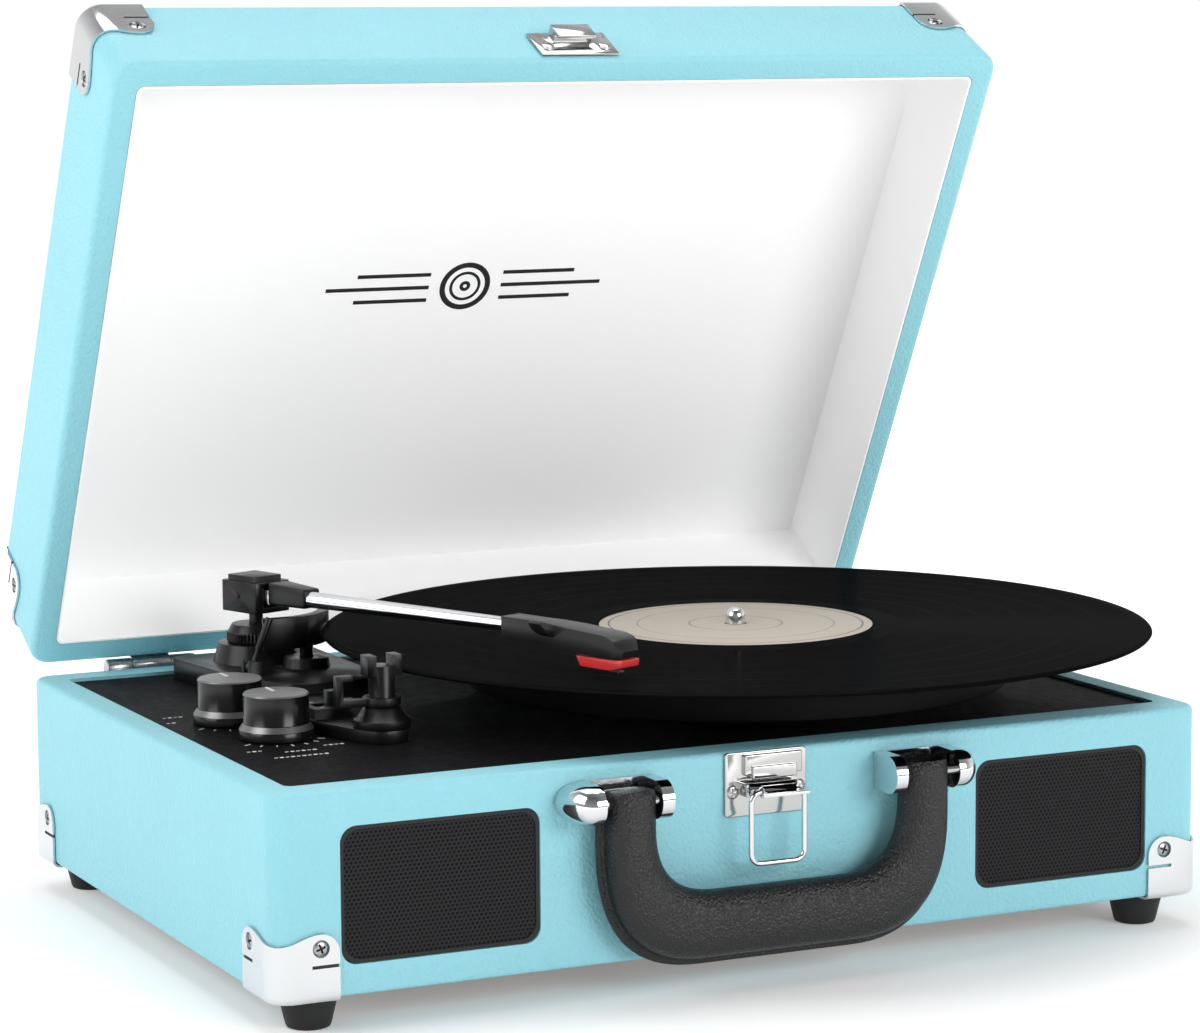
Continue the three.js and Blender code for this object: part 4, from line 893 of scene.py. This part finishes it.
def pressed_vinyl():
    """Glossy black vinyl: fine rings in bands, with smooth gaps between the bands."""
    material = finish("pressed_vinyl", (0.003, 0.003, 0.0033), 0.25, cloud=0.1, coat=0.03, specular=0.0)
    tree = material.node_tree
    relief, shader = tree.nodes["relief"], tree.nodes["Principled BSDF"]
    radius = ring_reader(tree)
    groove = sum_of(tree, "SINE", sum_of(tree, "MULTIPLY", radius, math.tau / mm(0.55)))
    bands = wired(tree, "ValToRGB", {"Fac": spread_over(tree, radius, mm(50, 151))})
    stops = bands.color_ramp.elements
    stops[0].color = stops[1].color = (0, 0, 0, 1)
    gaps = (0.10, 0.27, 0.42, 0.56, 0.70, 0.83, 0.965)
    for gap in gaps:
        before, after = gap != gaps[0], gap != gaps[-1]
        for offset, value in ((-0.012, before), (-0.004, 0), (0.004, 0), (0.012, after)):
            stops.new(gap + offset).color = (value, value, value, 1)
    tree.links.new(sum_of(tree, "MULTIPLY", groove, bands.outputs["Color"]), relief.inputs["Height"])
    relief.inputs["Distance"].default_value = mm(0.03)
    shader.inputs["Coat Roughness"].default_value = 0.16
    tree.links.new(relief.outputs["Normal"], shader.inputs["Coat Normal"])
    return material


disc_z, disc_top = level_of("vinyl_record")
disc = turned([
    (3.8, disc_z), (149.6, disc_z), (150.6, disc_z + 0.3), (151, disc_z + 0.8), (150.6, disc_top - 0.3),
    (149.8, disc_top), (146.5, disc_top - 0.15), (56, disc_top - 0.15), (54.5, disc_top),
    (50.3, disc_top), (50.3, disc_top - 0.5), (3.8, disc_top - 0.5), (3.8, disc_z)], eye_x, eye_y, 160)
fitted(disc, "record_disc", pressed_vinyl(), "platter", "record_vinyl", "vinyl_record")


def label_paper():
    """Beige paper with three thin printed rings."""
    beige = (0.49, 0.435, 0.365)
    material = finish("label_paper", beige, 0.6, cloud=0.05, grain_size=0.5, depth=0.01)
    tree = material.node_tree
    radius, base_colour = ring_reader(tree), tree.nodes["Principled BSDF"].inputs["Base Color"]
    for place, width, ink in ((46.5, 0.35, 0.3), (36.0, 0.3, 0.6), (17.0, 0.4, 0.55)):
        layer = wired(tree, "Mix", {"Factor": sum_of(tree, "COMPARE", radius, *mm(place, width)),
                                    "A": base_colour.links[0].from_socket,
                                    "B": (*[channel * ink for channel in beige], 1)}, data_type="RGBA")
        tree.links.new(layer.outputs["Result"], base_colour)
    return material


label_z, label_top = level_of("record_label")
label = turned([(4.1, label_z), (49.8, label_z), (50, label_top - 0.1), (49.7, label_top), (4.1, label_top),
                (4.1, label_z)], eye_x, eye_y, 96)
fitted(label, "paper_label", label_paper(), "platter", "label_paper", "record_label")

shaft_z, shaft_top = level_of("spindle")
shaft = turned([(0, shaft_z), (3.5, shaft_z), (3.5, shaft_top - 3.2), (3.35, shaft_top - 2.2),
                (2.9, shaft_top - 1.2), (2.0, shaft_top - 0.5), (1.0, shaft_top - 0.12), (0, shaft_top)],
               eye_x, eye_y, 48)
fitted(shaft, "centre_spindle", chrome, "platter", "chrome", "spindle")


# ------------------------------------------------------------------ drive
# A small motor under the deck whose plastic pulley drives the platter's inner ring by a flat rubber
# belt.

belt_rubber = finish("belt_rubber", (0.015, 0.015, 0.015), 0.7, cloud=0.1, grain_size=0.5, depth=0.01)
grey_moulding = finish("dark_grey_moulding", (0.011, 0.011, 0.012), 0.34, cloud=0.12, grain_size=0.5,
                       depth=0.012, specular=0.3)
refinish(belt_rubber, "drive_belt")
refinish(grey_moulding, "motor_pulley")
refinish(satin_steel, "motor")


# ------------------------------------------------------------------ knobs
# Two turned knobs with a wide skirt, black sides, a bright chamfer and a spun satin cap with a
# white pointer line, each on its own control under the deck.

knob_black = finish("gloss_black_knob", (0.006, 0.006, 0.0065), 0.2, cloud=0.1, specular=0.35)
knob_cap = finish("spun_satin_cap", (0.22, 0.22, 0.22), 0.35, metal=0.85, cloud=0.08)
knob_low = level_of("deck_panel")[1] + 0.3
for node in ("function_knob", "volume_knob"):
    x, y, _ = middle_of(node)
    stem_low, top = level_of(node)
    knob = turned([(0, stem_low), (3, stem_low), (3, knob_low), (12.7, knob_low), (13, knob_low + 0.4),
                   (13, knob_low + 2.9), (12.8, knob_low + 3.3), (11.5, knob_low + 5.2),
                   (11.3, knob_low + 5.6), (11.3, top - 0.9), (10.9, top - 0.35), (10.4, top - 0.3),
                   (0, top - 0.3)], x, y, 64)
    for face in knob.faces:
        level = face.calc_center_median().z * 1000
        if knob_low + 3.3 < level < knob_low + 5.3 or level > top - 0.9:
            face.material_index = 1
    pointer = board((x - mm(0.4), x + mm(0.4)), (y + mm(2), y + mm(9.6)), mm(top - 0.4, top - 0.1), 0, 0)
    for face in pointer.faces:
        face.material_index = 2
    put(knob, pointer, Matrix())
    fitted(knob, f"turned_{node}", [knob_black, knob_cap, print_white], node, "black_plastic", node)
refinish(satin_steel, "volume_pot", "function_switch")


# ------------------------------------------------------------------ sockets and board
# A green circuit board under the deck, and behind the back wall the twin signal sockets, the
# headphone socket and the power inlet.

board_green = finish("circuit_board_green", (0.02, 0.12, 0.05), 0.4, cloud=0.2, grain_size=2.5, depth=0.05)
refinish(board_green, "circuit_board")
for node in ("signal_jacks", "dc_inlet"):
    fitted(softened(node, mm(0.2)), f"{node}_moulding", satin_black, "case", "black_plastic", node)


# ------------------------------------------------------------------ tonearm base, rest and clip
# A thick black moulding stepping down from the pivot to the speed selector, a waisted rest post with
# a fork on top, and a swinging clip that keeps the arm in the fork.


def black_moulding(node, name, radius, body):
    """A satin black moulding in a CAD node's own shape, its edges rounded."""
    fitted(softened(node, mm(radius)), name, satin_black, body, "black_plastic", node)


black_moulding("tonearm_base", "arm_base_moulding", 0.5, "case")
black_moulding("arm_rest", "rest_post", 0.3, "case")
black_moulding("arm_clip", "rest_clip", 0.25, "arm_clip")
black_moulding("speed_slider", "selector_slider", 0.3, "speed_slider")

selector = middle_of("speed_slider")
selector_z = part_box("arm_rest")[0].z + mm(3.35)
speed_marks = bmesh.new()
for shift in (-6, 0, 6):
    for row, long in ((5.6, 2.2), (-5.6, 1.4)):
        printed(speed_marks, mm(long, 0.5, 0.1), (selector.x + mm(shift), selector.y + mm(row), selector_z))
fitted(speed_marks, "selector_marks", print_white, "case", "white_lining")


# ------------------------------------------------------------------ cueing lift
# A curved bar that rises under the arm when its small lever is laid back.

black_moulding("lift_bar", "cueing_bar", 0.4, "lift_bar")
black_moulding("lift_lever", "cueing_lever", 0.15, "lift_lever")


# ------------------------------------------------------------------ tonearm
# A ribbed turret that turns on the base, a chamfered pivot block with a cross pin, a tapering
# polished tube held in a black sleeve, a slim dark headshell with a finger lift, and a red cartridge
# with its stylus.

turret_x, turret_y, _ = middle_of("arm_turret")
turret_z, turret_top = level_of("arm_turret")
turret = turned([(0, turret_z), (10.6, turret_z), (11, turret_z + 0.4), (11, turret_z + 3.4),
                 (10.5, turret_z + 3.9), (9.6, turret_z + 5.6), (9.0, turret_z + 6.5), (2.6, turret_z + 6.5),
                 (2.6, turret_top), (0, turret_top)], turret_x, turret_y, 96)
pivot = Vector((turret_x, turret_y, 0))
for vert in turret.verts:
    away = Vector((vert.co.x, vert.co.y, 0)) - pivot
    step = round(math.atan2(away.y, away.x) / math.tau * 96)
    if away.length > mm(10.9) and step % 2:
        vert.co -= away.normalized() * mm(0.5)
fitted(turret, "arm_turret_ring", satin_black, "tonearm_pivot", "black_plastic", "arm_turret", sharp=20)
black_moulding("pivot_block", "arm_pivot_block", 0.6, "tonearm_pivot")

arm_swing = math.radians(19.6)
root_turn = Matrix.Rotation(arm_swing, 4, "Z") @ Matrix.Rotation(math.radians(1.1), 4, "X")
root_place = Matrix.Translation((turret_x, turret_y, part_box("arm_tube")[1].z - mm(3.3)))
holder = board(mm(-4.9, 4.9), mm(-32, -12.4), mm(-4.4, 4.0), 0, 0)
for vert in holder.verts:
    if vert.co.y < -mm(20):
        vert.co.x *= 0.82
        vert.co.z *= 0.84
eased(holder, holder.edges[:], mm(1.1), 3)
bmesh.ops.transform(holder, matrix=root_place @ root_turn, verts=holder.verts)
fitted(holder, "arm_root_holder", satin_black, "tonearm", "black_plastic")
polished_tube = finish("polished_tube", (0.72, 0.72, 0.74), 0.12, metal=1.0, cloud=0.03)
fitted(softened("arm_tube", mm(0.15)), "arm_tube_polished", polished_tube, "tonearm", "polished_tube",
       "arm_tube")
fitted(softened("headshell", mm(0.5)), "arm_headshell", grey_moulding, "tonearm", "grey_plastic",
       "headshell")
red_gloss = finish("red_gloss_moulding", (0.80, 0.05, 0.05), 0.25, cloud=0.06, coat=0.2)
fitted(softened("cartridge", mm(0.3)), "arm_cartridge", red_gloss, "tonearm", "red_plastic", "cartridge")
refinish(satin_steel, "stylus")

along = Vector((math.sin(arm_swing), -math.cos(arm_swing), 0))
across = Vector((-along.y, along.x, 0))
lift_at = pivot + along * mm(160) + across * mm(-5.2)
finger = bmesh.new()
strip = [(0.6, 112.6), (-1.2, 113.4), (-3.2, 114.6), (-5.0, 116.2), (-6.2, 118.0)]
rim = finger.edges.new([finger.verts.new((0, 0, 0)) for _ in range(2)])
for step, (out, z) in enumerate(strip):
    if step:
        pulled = bmesh.ops.extrude_edge_only(finger, edges=[rim])["geom"]
        rim = next(item for item in pulled if isinstance(item, bmesh.types.BMEdge))
    for vert, side in zip(rim.verts, (-3, 3)):
        vert.co = lift_at + across * mm(out) + along * mm(side) + Vector((0, 0, mm(z)))
finger_piece = fitted(finger, "finger_lift", grey_moulding, "tonearm", "grey_plastic")
sheet = finger_piece.modifiers.new("sheet", "SOLIDIFY")
sheet.thickness = mm(0.9)
sheet.offset = 0
round_off = finger_piece.modifiers.new("edges", "BEVEL")
round_off.width = mm(0.25)
round_off.segments = 2
